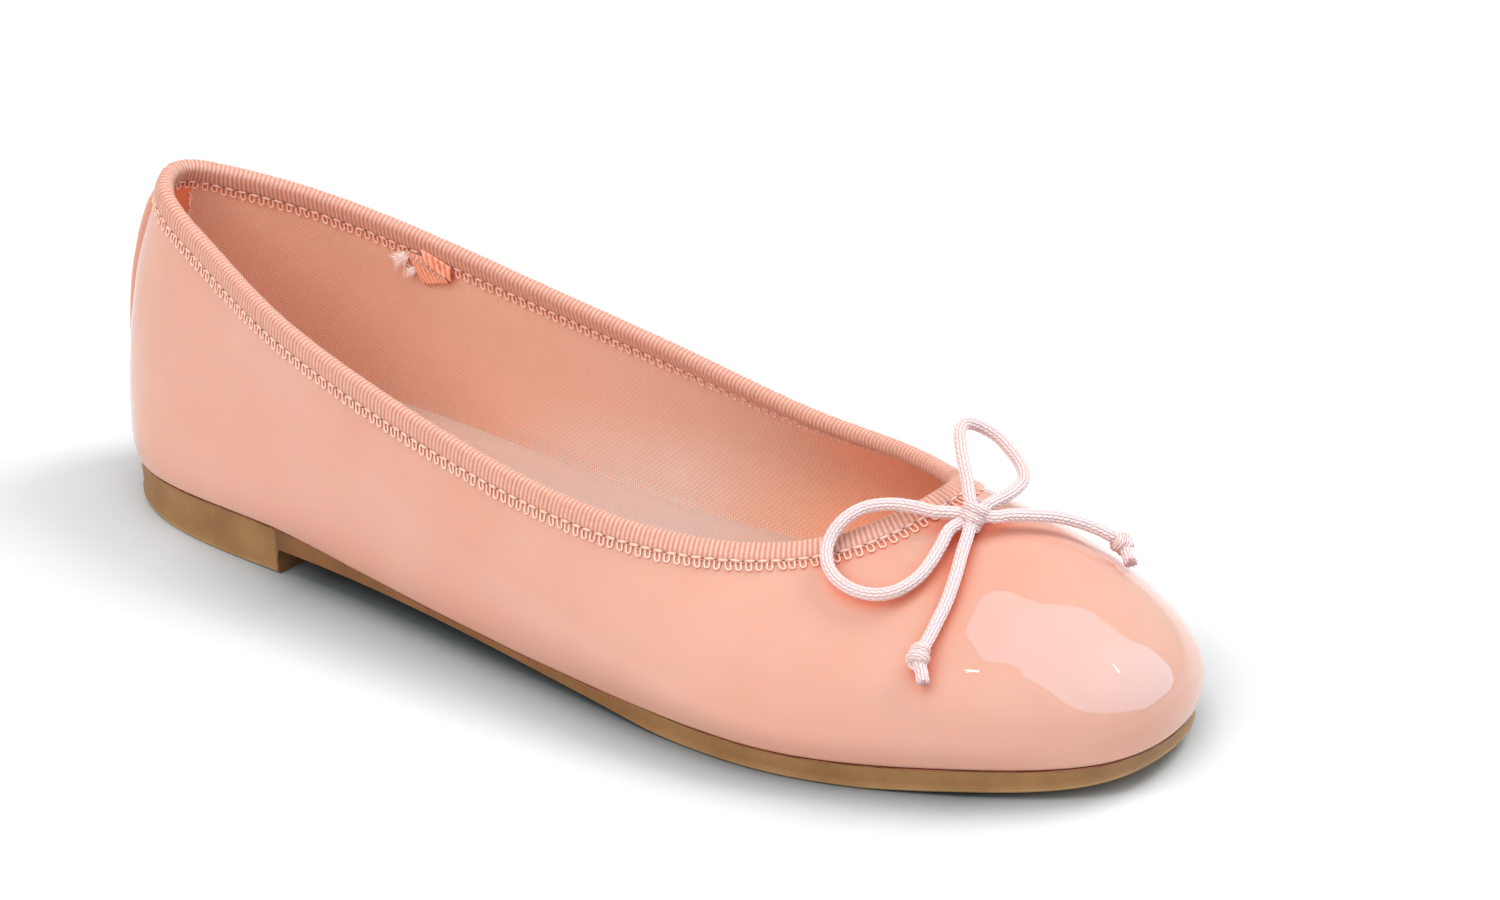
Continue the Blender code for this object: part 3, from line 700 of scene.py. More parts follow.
def satin_cord():
    """Braided satin: bright strands, with painted shade where they dive."""
    made, tree, shader = new_material("bow_cord", CORD, 0.36, sheen_weight=0.5, sheen_roughness=0.35)
    # Painted shade low in the braid's relief
    strands = ramp(tree, read_relief(tree), [(0.1, CORD_DIVE_SHADE), (0.5, CORD_HALF_SHADE), (0.85, CORD)])
    silk = noise(tree, 3200.0)
    fibres = mottle(tree, silk, (0.88, 0.86, 0.90), (1.06, 1.05, 1.05))
    link(tree, tint(tree, strands, fibres), shader.inputs["Base Color"])
    bump(tree, shader, silk, 0.03 * MM, 0.5)
    return made


def sole_rubber(name, base, pale):
    """Matte moulded rubber with faint mottling and a fine grain, with painted shade deeper and redder at the
    waist.
    """
    made, tree, shader = new_material(name, base, 0.62, specular_ior_level=0.35)
    clouds = mottle(tree, noise(tree, 85.0, 5.0, 0.6), darker(base, 0.82), pale, 0.72)
    link(tree, tint(tree, clouds, along_ramp(tree, SOLE_PAINTED_SHADE)), shader.inputs["Base Color"])
    bump(tree, shader, noise(tree, 900.0, 3.0), 0.05 * MM, 0.6)
    return made


# ---------------------------------------------------------------- leather surfaces

WALL_STEPS = 120
UPPER_COLUMNS = 640
UPPER_TURNS = np.arange(UPPER_COLUMNS) * 360.0 / UPPER_COLUMNS
UPPER_ROWS = 76             # rows up the outer wall
INNER_ROWS = 26
INNER_FOOT = 0.03           # share of the wall's height at which the lining turns inwards
INNER_INSET = 3 * MM
TURN_STEPS = (0, 18, 36, 54, 72, 90)
# How far the leather hangs down over the sole's edge, at places from the back of the heel
HEM_SAGS = ((0.056, 0.0), (0.066, 0.5), (0.078, 1.0), (0.095, 1.2), (0.125, 1.2), (0.145, 0.8),
            (0.160, 0.3), (0.174, 0.0))
HEM_SHARE = 0.22            # share of the wall's height that takes part
RIPPLE_HEIGHT = 0.04 * MM    # soft unevenness of the leather over the last
RIPPLE_LENGTH = 13 * MM

# Creases and dents of the upper, in millimetres: where, along what direction, how long, how wide,
# how deep. A negative depth is a ridge.
CREASES = (
    ((225.1, -14.6, 26.1), (0.8, 0.5, 0.0), 2.2, 1.3, 0.045),    # dimple on the toe
    ((198.6, -6.6, 37.5), (0.95, -0.2, -0.2), 4.6, 4.0, 0.19),   # puckers that the drawstring makes
    ((197.5, -12.5, 35.8), (0.9, -0.3, -0.3), 6.0, 2.4, 0.12),
    ((205.5, -5.5, 37.3), (0.95, -0.2, -0.2), 6.0, 3.0, 0.12),
    ((208.5, 3.5, 38.2), (0.95, 0.1, -0.2), 8.0, 3.2, 0.16),
    ((205.0, 11.5, 38.2), (0.9, 0.35, -0.2), 8.0, 3.0, 0.16),
    ((192.5, -20.5, 31.5), (0.7, -0.6, -0.4), 8.0, 3.4, 0.12),
    ((150.0, -41.0, 22.0), (1.0, 0.05, 0.1), 46.0, 15.0, 0.22),  # flex of the forepart
    ((168.0, -40.5, 15.0), (0.85, 0.1, 0.5), 26.0, 10.0, 0.14),
    ((60.0, -27.5, 30.0), (0.8, 0.0, 0.5), 40.0, 16.0, 0.16),    # fall of the quarter
    ((160.0, 44.0, 24.0), (1.0, 0.05, -0.1), 44.0, 14.0, 0.22),
    ((20.0, -18.0, 36.0), (0.4, -0.3, 0.85), 22.0, 9.0, 0.10),
    ((22.0, 17.0, 34.0), (0.4, 0.3, 0.85), 22.0, 9.0, 0.10),
)


def hem_sag(x):
    """How far down the leather's lower edge hangs at places along the shoe."""
    places, sags = zip(*HEM_SAGS)
    return np.interp(x, places, sags) * MM


def ripples(points, length, seed):
    """Soft random relief, from about -1 to 1, over points in space."""
    rng = np.random.default_rng(seed)
    total = np.zeros(points.shape[:-1])
    count = 36
    for _ in range(count):
        direction = unit(rng.normal(size=3))
        pitch = length * rng.uniform(0.7, 1.8)
        phase = rng.uniform(0, 2 * math.pi)
        total += np.sin(2 * math.pi / pitch * (points @ direction) + phase)
    return total / math.sqrt(count / 2)


def crease_depth(points):
    """Depth of the creases at points in space."""
    depth = np.zeros(points.shape[:-1])
    for place, direction, length, width, deep in CREASES:
        away = points - np.array(place) * MM
        line = unit(np.array(direction))
        run = away @ line
        off = np.linalg.norm(away - run[..., None] * line, axis=-1)
        depth += deep * MM * np.exp(-(run / (length * MM / 2)) ** 2 - (off / (width * MM / 2)) ** 2)
    return depth


def even_turns(count):
    """Angles that space columns evenly along the wall's top edge, and the length of that edge."""
    fine = np.arange(1440) * 0.25
    run = run_of(wall_surface(fine, WALL_STEPS)[-1], 0, True)
    places = np.arange(count) / count * run[-1]
    return np.interp(places, run, np.append(fine, 360.0)), run[-1]


class Wall:
    """The upper's outer face at a set of angles around the shoe, to look up by height up the wall."""

    def __init__(self, angles):
        self.points = wall_surface(angles, WALL_STEPS)
        self.normals = surface_normals(self.points)
        self.lengths = run_of(self.points, 0, False)
        self.total = self.lengths[-1]

    def at(self, heights, out=0.0):
        """Points at heights[row, strand] up the wall, moved outwards, and the normals there."""
        normals = unit(at_lengths(self.normals, self.lengths, heights))
        points = at_lengths(self.points, self.lengths, heights)
        return points + np.asarray(out)[..., None] * normals, normals


class Skin:
    """The upper's whole outer face, to find a spot by its turn around the shoe and depth from the top."""

    STEP = 0.5

    def __init__(self):
        self.wall = Wall(np.arange(int(360 / self.STEP)) * self.STEP)

    def spots(self, turns, depths, out):
        """Points at turns (degrees) and depths down from the wall's top edge, moved outwards."""
        turns, depths, out = np.broadcast_arrays(turns, depths, out)
        place = np.mod(turns.ravel(), 360.0) / self.STEP
        first = np.floor(place).astype(int)
        share = (place - first)[:, None]
        found = []
        for column_at in (first, first + 1):
            index = column_at % self.wall.points.shape[1]
            wanted = (self.wall.total[index] - depths.ravel())[None, :]
            lengths = self.wall.lengths[:, index]
            points = at_lengths(self.wall.points[:, index], lengths, wanted)[0]
            normals = unit(at_lengths(self.wall.normals[:, index], lengths, wanted)[0])
            found.append(points + out.ravel()[:, None] * normals)
        mixed = found[0] * (1 - share) + found[1] * share
        return mixed.reshape(*turns.shape, 3)


def make_upper(patent, cloth):
    """The closed upper shell: patent outside, cloth lining inside."""
    wall = Wall(UPPER_TURNS)
    seat = seat_line(UPPER_TURNS)
    sideways = outward(seat)
    rows = [inset(seat, LASTING_MARGIN, MARGIN_LEVEL), inset(seat, LASTING_MARGIN / 2, MARGIN_LEVEL)]
    for turn in TURN_STEPS[:0:-1]:
        run = FEATHER_INSET * (1 - math.cos(math.radians(turn)))
        fall = FEATHER_DROP * math.sin(math.radians(turn))
        row = seat - run * sideways
        row[:, 2] = along("seat", row[:, 0]) + FOOT_RAISE - fall - hem_sag(seat[:, 0])
        rows.append(row)
    shares = np.linspace(0, 1, UPPER_ROWS)[:, None]
    outer, normals = wall.at(shares * wall.total)
    fade = np.clip(shares * 8, 0, 1) * np.clip((1 - shares) * 8, 0, 1)
    relief = RIPPLE_HEIGHT * ripples(outer, RIPPLE_LENGTH, 7) * fade - crease_depth(outer)
    outer = outer + relief[..., None] * normals
    outer[..., 2] -= hem_sag(seat[:, 0]) * np.clip(1 - shares / HEM_SHARE, 0, 1) ** 1.5
    rows += list(outer)
    inner_shares = np.linspace(1, INNER_FOOT, INNER_ROWS)[:, None]
    rows += list(wall.at(inner_shares * wall.total, -UPPER_WALL)[0])
    rows.append(inset(seat, INNER_INSET, MARGIN_LEVEL + UPPER_WALL))
    rows.append(inset(seat, LASTING_MARGIN, MARGIN_LEVEL + UPPER_WALL))
    points = np.array(rows)
    around_run = run_of(points, 1, True)
    up_run = run_of(points, 0, True)
    middle = around_run[len(rows) // 2]
    uv = np.stack(np.broadcast_arrays(middle[None, :], up_run.mean(1)[:, None]), -1)
    outside = 2 + len(TURN_STEPS) - 1 + UPPER_ROWS
    slots = [0 if row < outside else 1 for row in range(len(rows))]
    upper = grid_piece("upper_skin", points, [patent, cloth], wrap_rows=True, uv=uv, slots=slots)
    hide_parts("upper")


# ---------------------------------------------------------------- insole

def barred_body(name, rings, finishes, uv_plan=True, slots=None):
    """A closed body through rings, its first and last closed by bars across, with its plan for UVs."""
    count = len(rings[0])
    half = count // 2
    points = np.concatenate(rings)
    faces = grid_faces(len(rings), count, False, True)[0].tolist()
    for start, turned in ((0, True), ((len(rings) - 1) * count, False)):
        bars = [(0, 1, count - 1)]
        bars += [(i, i + 1, count - i - 1, count - i) for i in range(1, half - 1)]
        bars += [(half - 1, half, half + 1)]
        faces += [tuple(start + i for i in (bar[::-1] if turned else bar)) for bar in bars]
    mesh = new_mesh(name, points, faces)
    if slots is not None:
        marks = np.zeros(len(faces), np.int32)
        marks[:len(slots) * count] = np.repeat(slots, count)
        mesh.polygons.foreach_set("material_index", marks)
    if uv_plan:
        layer = mesh.uv_layers.new(name="UVMap")
        flat = (points + ROOT)[[loop.vertex_index for loop in mesh.loops]][:, :2]
        layer.data.foreach_set("uv", flat.astype(np.float32).ravel())
    return add_piece(name, mesh, finishes)


# From below upwards: how far inside the seat line, in millimetres, and level above the seat's height
INSOLE_RINGS = (
    (9.5, SOLE_LEVEL + GAP),
    (9.5, INSOLE_LEVEL),
    (2.9, INSOLE_LEVEL),
    (2.4, INSOLE_TOP_LEVEL - 0.5 * MM),
    (2.55, INSOLE_TOP_LEVEL - 0.15 * MM),
    (2.9, INSOLE_TOP_LEVEL),
    (6.0, INSOLE_TOP_LEVEL),
)


def make_insole(cloth):
    """Cloth-covered insole on the lasting margin, its middle filling down to the sole."""
    seat = seat_line(UPPER_TURNS)
    rings = [inset(seat, reach * MM, level) for reach, level in INSOLE_RINGS]
    insole = barred_body("insole_sock", rings, [cloth])
    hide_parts("insole")


# ---------------------------------------------------------------- outsole

SOLE_INSET = 0.8 * MM
SOLE_TOP_INSET = 5 * MM     # where its rim falls to the flat top that the upper hides
SOLE_TAPER = 0.2 * MM
SOLE_EDGE_ROUND = 0.8 * MM
HEEL_CORNER_ROUND = 1.8 * MM
HEEL_CORNER_END = 50.0
BALL_POINT = 186 * MM
BREAST_HOLLOW = 0.8 * MM
CUTTER_HALF_WIDTH = 60 * MM
CUTTER_DEPTH = 3 * MM
ARCH_STEP = 2 * MM
SOLE_TURNS = (0, 15, 30, 45, 60, 75, 90)
# Down the side band, from its top to the bead along the lower edge: share of the way, hollow
SOLE_BAND = ((0.25, 0.10 * MM), (0.5, 0.20 * MM), (0.75, 0.26 * MM), (0.92, 0.26 * MM), (1.0, 0.16 * MM))
SOLE_BEAD = 0.35 * MM       # height of the bead above the lower edge's round
SOLE_RISE = 0.2 * MM        # the sole's top edge, squeezed up against the upper


def tread_height(x):
    """Height of the sole's underside before its waist is cut away."""
    spring = np.maximum(along("arch", x), 0.0)
    return np.where(x < BALL_POINT, 0.0, spring)


def arch_cutter():
    """What is cut away under the waist: a block with the heel breast and the arch for its top."""
    xs = np.arange(BREAST, BALL_POINT, ARCH_STEP)
    heights = along("arch", xs)
    hollow = [(BREAST - BREAST_HOLLOW * math.sin(math.pi * share), heights[0] * share)
              for share in (0.15, 0.3, 0.5, 0.7, 0.85)]
    profile = [(BREAST, -CUTTER_DEPTH), (BREAST, 0.0), *hollow]
    profile += [(x, z) for x, z in zip(xs, heights) if z > -CUTTER_DEPTH]
    profile.append((BALL_POINT, -CUTTER_DEPTH))
    bm = bmesh.new()
    near = [bm.verts.new(np.array((x, -CUTTER_HALF_WIDTH, z)) + ROOT) for x, z in profile]
    face = bm.faces.new(near)
    far = bmesh.ops.extrude_face_region(bm, geom=[face])
    moved = [item for item in far["geom"] if isinstance(item, bmesh.types.BMVert)]
    bmesh.ops.translate(bm, verts=moved, vec=(0, 2 * CUTTER_HALF_WIDTH, 0))
    bmesh.ops.recalc_face_normals(bm, faces=bm.faces)
    mesh = bpy.data.meshes.new("arch_cutter")
    bm.to_mesh(mesh)
    bm.free()
    return add_object("arch_cutter", mesh)


def make_outsole(rubber, edge):
    """Unit sole with its low heel, arched waist, flat ball and toe spring."""
    seat = seat_line(UPPER_TURNS)
    fade = np.clip(1 - np.minimum(UPPER_TURNS, 360 - UPPER_TURNS) / HEEL_CORNER_END, 0, 1)
    corner = SOLE_EDGE_ROUND + (HEEL_CORNER_ROUND - SOLE_EDGE_ROUND) * np.sin(fade * math.pi / 2)
    corner = corner[:, None]
    sideways = outward(seat)
    base = seat - (SOLE_INSET + SOLE_TAPER) * sideways
    rings = [inset(seat, SOLE_TOP_INSET, SOLE_LEVEL), inset(seat, SOLE_INSET, SOLE_LEVEL + SOLE_RISE)]
    top = rings[-1]
    for share, hollow in SOLE_BAND:
        ring = top * (1 - share) + base * share - hollow * sideways
        foot = tread_height(ring[:, 0]) + corner[:, 0] + SOLE_BEAD
        ring[:, 2] = top[:, 2] * (1 - share) + foot * share
        rings.append(ring)
    for turn in SOLE_TURNS:
        lift = corner * (1 - math.sin(math.radians(turn)))
        ring = base - corner * (1 - math.cos(math.radians(turn))) * sideways
        ring[:, 2] = tread_height(ring[:, 0]) + lift[:, 0]
        rings.append(ring)
    levels = len(SOLE_TURNS) - 1
    slots = [1] * levels + [0] * (len(rings) - 1 - levels)
    sole = barred_body("outsole_body", rings[::-1], [rubber, edge], uv_plan=False, slots=slots)
    cutter = arch_cutter()
    cut = sole.modifiers.new("arch", "BOOLEAN")
    cut.operation = "DIFFERENCE"
    cut.solver = "EXACT"
    cut.object = cutter
    bpy.context.view_layer.update()
    graph = bpy.context.evaluated_depsgraph_get()
    shaped = bpy.data.meshes.new_from_object(sole.evaluated_get(graph))
    sole.modifiers.clear()
    sole.data = shaped
    shaped.shade_smooth()
    shaped.set_sharp_from_angle(angle=math.radians(40))
    bpy.data.objects.remove(cutter, do_unlink=True)
    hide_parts("outsole")


# ---------------------------------------------------------------- stitches, holes and threads

FIBRE = 0.075 * MM          # half-thickness of a loose fibre
STITCH_DEPTH = 0.12 * MM    # half-depth of a hole, and how far a stitch stands off the surface


class Beads:
    """Many small pieces gathered as one mesh."""

    def __init__(self):
        self.points = []
        self.faces = []
        self.count = 0

    def add(self, points, faces):
        """One more small piece."""
        self.points.append(points)
        self.faces += [tuple(self.count + corner for corner in face) for face in faces]
        self.count += len(points)

    def ball(self, centre, axes, turns, rings):
        """An ellipsoid whose half-axes are the rows of axes."""
        falls = [math.pi * ring / rings - math.pi / 2 for ring in range(1, rings)]
        ways = [2 * math.pi * step / turns for step in range(turns)]
        middle = [(math.cos(fall) * math.cos(way), math.cos(fall) * math.sin(way), math.sin(fall))
                  for fall in falls for way in ways]
        points = np.array([(0, 0, -1.0), *middle, (0, 0, 1.0)])
        self.add(centre + points @ axes, ball_faces(turns, rings))

    def tube(self, curve, radius, turns):
        """A closed tube along a curve, its ends closed flat; radius may vary along it."""
        radii = np.broadcast_to(np.asarray(radius, float), (len(curve),))
        angles = (np.arange(turns) * 2 * math.pi / turns)[:, None]
        rings = [spot + reach * (np.cos(angles) * side + np.sin(angles) * up)
                 for spot, reach, side, up in zip(curve, radii, *frames_along(curve))]
        quads, _, _ = grid_faces(len(curve), turns, False, True)
        last = (len(curve) - 1) * turns
        self.add(np.concatenate(rings), [*quads.tolist(), range(turns)[::-1], range(last, last + turns)])

    def piece(self, name, finish):
        """The one mesh, as a piece of the shoe."""
        return add_piece(name, new_mesh(name, np.concatenate(self.points), self.faces), [finish])


def ball_faces(turns, rings):
    """Faces of a ball with its poles at the first and last points."""
    last = 1 + (rings - 1) * turns
    start = last - turns
    low = [(0, 1 + (k + 1) % turns, 1 + k) for k in range(turns)]
    high = [(start + k, start + (k + 1) % turns, last) for k in range(turns)]
    return [*low, *(grid_faces(rings - 1, turns, False, True)[0] + 1).tolist(), *high]


def stitch_row(threads, holes, line, normals, pitch, length, radius, hole, closed=True, seed=3):
    """Straight stitches along a line that lies on a surface, with a dark bead of painted shade for the hole
    between each and the next.
    """
    rng = np.random.default_rng(seed)
    run = run_of(line, 0, closed)
    full, faces = [np.concatenate([part, part[:1]]) if closed else part for part in (line, normals)]
    count = int(run[-1] // pitch)
    step = run[-1] / count

    def at(place):
        return read_at(place, run, full), unit(read_at(place, run, faces))

    for index in range(count):
        middle = (index + 0.5) * step + rng.normal(0, 0.04) * step
        reach = length / 2 * rng.uniform(0.93, 1.05)
        spot, face = at(middle)
        line_way = unit(at(middle + reach)[0] - at(middle - reach)[0])
        direction = unit(line_way + rng.normal(0, 0.05) * unit(np.cross(face, line_way)))
        across = unit(np.cross(face, direction))
        threads.ball(spot + STITCH_DEPTH * face,
                     np.array([reach * direction, radius * 1.15 * across, radius * 0.8 * face]), 8, 5)
        joint, facing = at(index * step)
        holes.ball(joint, np.array([hole * line_way, hole * 0.85 * np.cross(facing, line_way),
                                    STITCH_DEPTH * facing]), 8, 4)


# ---------------------------------------------------------------- backstay

BACKSTAY_SEARCH = 30        # degrees to either side of the heel's back that the strip may reach
STRIP_COLUMNS = 49
STRIP_ROWS = 70
STRIP_TOP = 3.0 * MM        # the strip's top, down the wall under the binding
STRIP_SEAM = 2.15 * MM      # of its rows of stitches, in from its edges
STRIP_STITCH_PITCH = 2.2 * MM
STRIP_STITCH = 1.7 * MM
STRIP_SUNK = 0.15 * MM      # how far its edges go into the leather
# Its thickness from each edge inwards: roll of the edge, swell and groove beside the seam
STRIP_EDGE = 0.55 * MM
STRIP_GROOVE = (STRIP_SEAM, 0.35 * MM, -0.22 * MM)
STRIP_SWELL = (1.1 * MM, 0.6 * MM, 0.05 * MM)


def strip_height(edge):
    """How far the strip stands off the wall at distances from its edge."""
    height = (GAP + BACKSTAY_THICKNESS) * np.clip(edge / STRIP_EDGE, 0, 1) ** 0.5
    for place, width, rise in (STRIP_GROOVE, STRIP_SWELL):
        height += rise * np.exp(-((edge - place) / width) ** 2)
    return height


def strip_surface(reaches, height):
    """The strip's surface, at reaches to either side of the heel's back: points[row, column], normals."""
    turns = np.arange(-BACKSTAY_SEARCH, BACKSTAY_SEARCH + 1)
    wall = Wall(np.concatenate([turns, np.arange(BACKSTAY_SEARCH + 1, 360 - BACKSTAY_SEARCH)]))
    shares = np.linspace(0.0, 1.0, STRIP_ROWS)
    level, facing = wall.at(shares[:, None] * (wall.total - STRIP_TOP))
    rows = []
    norms = []
    for up_share, row, normal in zip(shares, level[:, :len(turns)], facing[:, :len(turns)]):
        run = run_of(row, 0, False)
        run -= run[len(turns) // 2]
        face = unit(read_at(reaches, run, normal))
        flatten = np.clip((1 - up_share) / 0.05, 0.25, 1)
        foot = np.clip(up_share / 0.015, 0, 1) ** 0.5
        rows.append(read_at(reaches, run, row) + (height * flatten * foot - STRIP_SUNK)[:, None] * face)
        norms.append(face)
    return np.array(rows), np.array(norms)


def make_backstay(patent, thread, dark):
    """Strip up the back of the heel: rolled edges, and a row of fine stitches inside each."""
    half = BACKSTAY_WIDTH / 2
    t = np.linspace(-1, 1, STRIP_COLUMNS)
    reaches = half * np.sin(t * math.pi / 2) * 0.35 + half * t * 0.65
    points, norms = strip_surface(reaches, strip_height(half - np.abs(reaches)))
    points = points + (0.03 * MM * ripples(points, 9 * MM, 11))[..., None] * norms
    strip = grid_piece("backstay_strip", points, [patent], wrap_columns=False)
    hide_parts("backstay")
    threads = Beads()
    holes = Beads()
    for side_sign in (-1, 1):
        place = side_sign * (half - STRIP_SEAM)
        index = int(np.argmin(np.abs(reaches - place)))
        line = points[2:-1, index]
        stitch_row(threads, holes, line, norms[2:-1, index], STRIP_STITCH_PITCH, STRIP_STITCH, 0.17 * MM,
                   0.26 * MM, closed=False, seed=5 + side_sign)
    threads.piece("backstay_stitches", thread)
    holes.piece("backstay_stitch_holes", dark)


# ---------------------------------------------------------------- collar binding

RIB_PITCH = 1.0 * MM
RIB_COLUMNS = 6             # columns to a rib
RIB_DEPTH = 0.21 * MM
PICOT_ROOT = 3.35           # ends of the loops of yarn, in millimetres down the wall from its top edge
PICOT_TIP = 5.2
PICOT_YARN = 0.20 * MM
SEAM_DEPTH = 3.3            # of the row of stitches, in millimetres
SEAM_PITCH = 2.7 * MM
SEAM_STITCH = 2.15 * MM
SEAM_LIFT = 0.05 * MM
TAPE_OUT = 1.0 * MM         # how far the tape's face stands off the leather
TAPE_TOP = 1.5 * MM
CROWN_LEVEL = 0.15 * MM     # middle of the fold, down the wall from its top edge
RIB_UNEVEN = 0.03           # in millimetres
EDGE_WAVE = 0.12            # the tape's edge between ribs is this much higher, in millimetres
EDGE_WAVE_FROM = 3.6
PLAIN_SHADE = 0.45          # relief that the tape's material reads where there is no rib

# Rows of one leg of the tape from its edge upwards: how far down the wall, how far out, both in
# millimetres, and the share of the rib's relief
LEG_ROWS = (
    (3.78, 0.04, 0.0),
    (3.74, 0.34, 0.2),
    (3.52, 0.50, 0.6),
    (SEAM_DEPTH, 0.46, 0.5),
    (3.08, 0.54, 0.7),
    (2.86, 0.74, 0.9),
    (2.55, 0.88, 1.0),
    (1.95, 0.96, 1.0),
    (1.10, 1.00, 1.0),
    (0.15, 1.00, 1.0),
)
CROWN_TURNS = (20, 45, 70, 90, 110, 135, 160)


def picot_loops(beads, skin, angles, side_of, rng):
    """The loops of yarn along one edge of the tape: each joins two of its ribs."""
    leg = np.linspace(PICOT_ROOT, PICOT_TIP - 0.5, 4)
    bend = np.radians(np.linspace(180, 0, 7))
    across = np.concatenate([np.full(3, -0.5), 0.5 * np.cos(bend), np.full(3, 0.5)])
    down = np.concatenate([leg[:3], leg[3] + 0.5 * np.sin(bend), leg[2::-1]])
    below = (down - PICOT_ROOT) / (PICOT_TIP - PICOT_ROOT)
    count = len(angles) // (2 * RIB_COLUMNS)
    for index in range(count):
        lean = rng.normal(0.10, 0.13)
        longer = rng.normal(0, 0.07)
        columns = (2 * index + 1) * RIB_COLUMNS + (across + lean * below) * RIB_COLUMNS
        turns = np.interp(columns, np.arange(len(angles) + 1), np.append(angles, 360.0))
        depths = (down + longer * below) * MM
        lift = (0.27 + 0.10 * rng.uniform() * below) * MM
        if side_of == "inside":
            lift = -UPPER_WALL - lift - 0.25 * MM * below
        beads.tube(skin.spots(turns, depths, lift), PICOT_YARN, 6)


def rib_phase(count):
    """Place of each column across its rib, from 0 to 1."""
    return np.arange(count) % RIB_COLUMNS / RIB_COLUMNS


def tape_crown(wall, rib, uneven):
    """Rows of the fold over the wall's top edge."""
    tops, normals = wall.at(wall.total[None, :] - CROWN_LEVEL, -UPPER_WALL / 2)
    centre = tops[0]
    face = normals[0]
    up = unit(np.cross(face, np.roll(centre, -1, 0) - np.roll(centre, 1, 0)))
    up = np.where(up[:, 2:] < 0, -up, up)
    half_width = UPPER_WALL / 2 + TAPE_OUT
    scale = 1 + (RIB_DEPTH * rib * 0.85 + uneven) / half_width
    return [centre + (scale * half_width * math.cos(turn))[:, None] * face
            + (scale * (TAPE_TOP + 0.05 * MM) * math.sin(turn))[:, None] * up
            for turn in np.radians(CROWN_TURNS)]


def make_binding(skin, tape, thread, yarn, dark):
    """Ribbed tape folded over the collar's edge, stitched through, with picots along both edges."""
    _, around_top = even_turns(12)
    ribs = 2 * round(around_top / RIB_PITCH / 2)
    angles, _ = even_turns(ribs * RIB_COLUMNS)
    wall = Wall(angles)
    rib = np.sin(math.pi * rib_phase(len(angles))) ** 0.9 - 1.0
    rng = np.random.default_rng(21)
    uneven = np.repeat(rng.normal(0, RIB_UNEVEN, ribs), RIB_COLUMNS) * MM
    depths, outs, shares = [np.array(part)[:, None] for part in zip(*LEG_ROWS)]
    lift = (RIB_DEPTH * rib + uneven) * shares
    depths = (depths + EDGE_WAVE * rib * (depths > EDGE_WAVE_FROM)) * MM
    outer, normals = wall.at(wall.total - depths, outs * MM + lift)
    inside, _ = wall.at(wall.total - depths, -UPPER_WALL - outs * MM - lift)
    points = np.array([*outer, *tape_crown(wall, rib, uneven), *inside[::-1]])
    leg_shade = shares * (1 + rib) + (1 - shares) * PLAIN_SHADE
    crown_shade = np.broadcast_to(1 + rib, (len(CROWN_TURNS), len(angles)))
    relief = np.concatenate([leg_shade, crown_shade, leg_shade[::-1]])
    binding = grid_piece("binding", points, [tape], wrap_rows=True, relief=relief)
    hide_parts("collar_binding")
    picots = Beads()
    picot_loops(picots, skin, angles, "outside", rng)
    picot_loops(picots, skin, angles, "inside", rng)
    picots.piece("binding_picots", yarn)
    threads = Beads()
    holes = Beads()
    seam_row = [row[0] for row in LEG_ROWS].index(SEAM_DEPTH)
    facing = normals[seam_row]
    seam = (SEAM_PITCH, SEAM_STITCH)
    stitch_row(threads, holes, outer[seam_row] + SEAM_LIFT * facing, facing, *seam, 0.24 * MM, 0.22 * MM)
    stitch_row(threads, holes, inside[seam_row] - SEAM_LIFT * facing, -facing, *seam, 0.27 * MM, 0.16 * MM,
               seed=4)
    threads.piece("binding_stitches", thread)
    holes.piece("binding_stitch_holes", dark)


# ---------------------------------------------------------------- tape join and heel seam inside

FLAP_THICKNESS = 0.45 * MM
FLAP_ROWS = 18
# Corners of the tape's two loose ends inside the inner wall: turn around the shoe, depth, lift off it
FLAP_CORNERS = ((303.4, 4.0, 0.9), (302.3, 11.2, 0.7), (297.2, 7.6, 1.0), (298.0, 3.4, 1.2))
FOLD_CORNERS = ((300.6, 1.4, 1.3), (300.2, 4.4, 1.7), (296.4, 6.8, 1.1), (295.8, 3.0, 1.3))
# Where the row of loose loops starts and ends, their number, their yarn's radius, their lift
TAPE_LOOPS = ((303.0, 3.4), (297.6, 6.2), 8, 0.13 * MM, 1.3)
# Each frayed tuft: turn, depth, length in millimetres, number of fibres
TUFTS = ((305.0, 6.2, 2.6, 260), (304.3, 9.3, 1.7, 150))
HEEL_STRIP_TURN = 8.0       # half-width of the bare strip up the inside of the heel, in degrees
HEEL_STRIP_DEPTHS = (4.6, 46.0)
HEEL_FRAY_DEPTHS = np.arange(5.4, 44.0, 0.42)      # one fibre to each, on both sides of the strip


def inner(skin, turns, depths, lift):
    """Points over the lining: turn, depth and lift in degrees and millimetres."""
    return skin.spots(turns, np.asarray(depths) * MM, -(UPPER_WALL + np.asarray(lift) * MM))


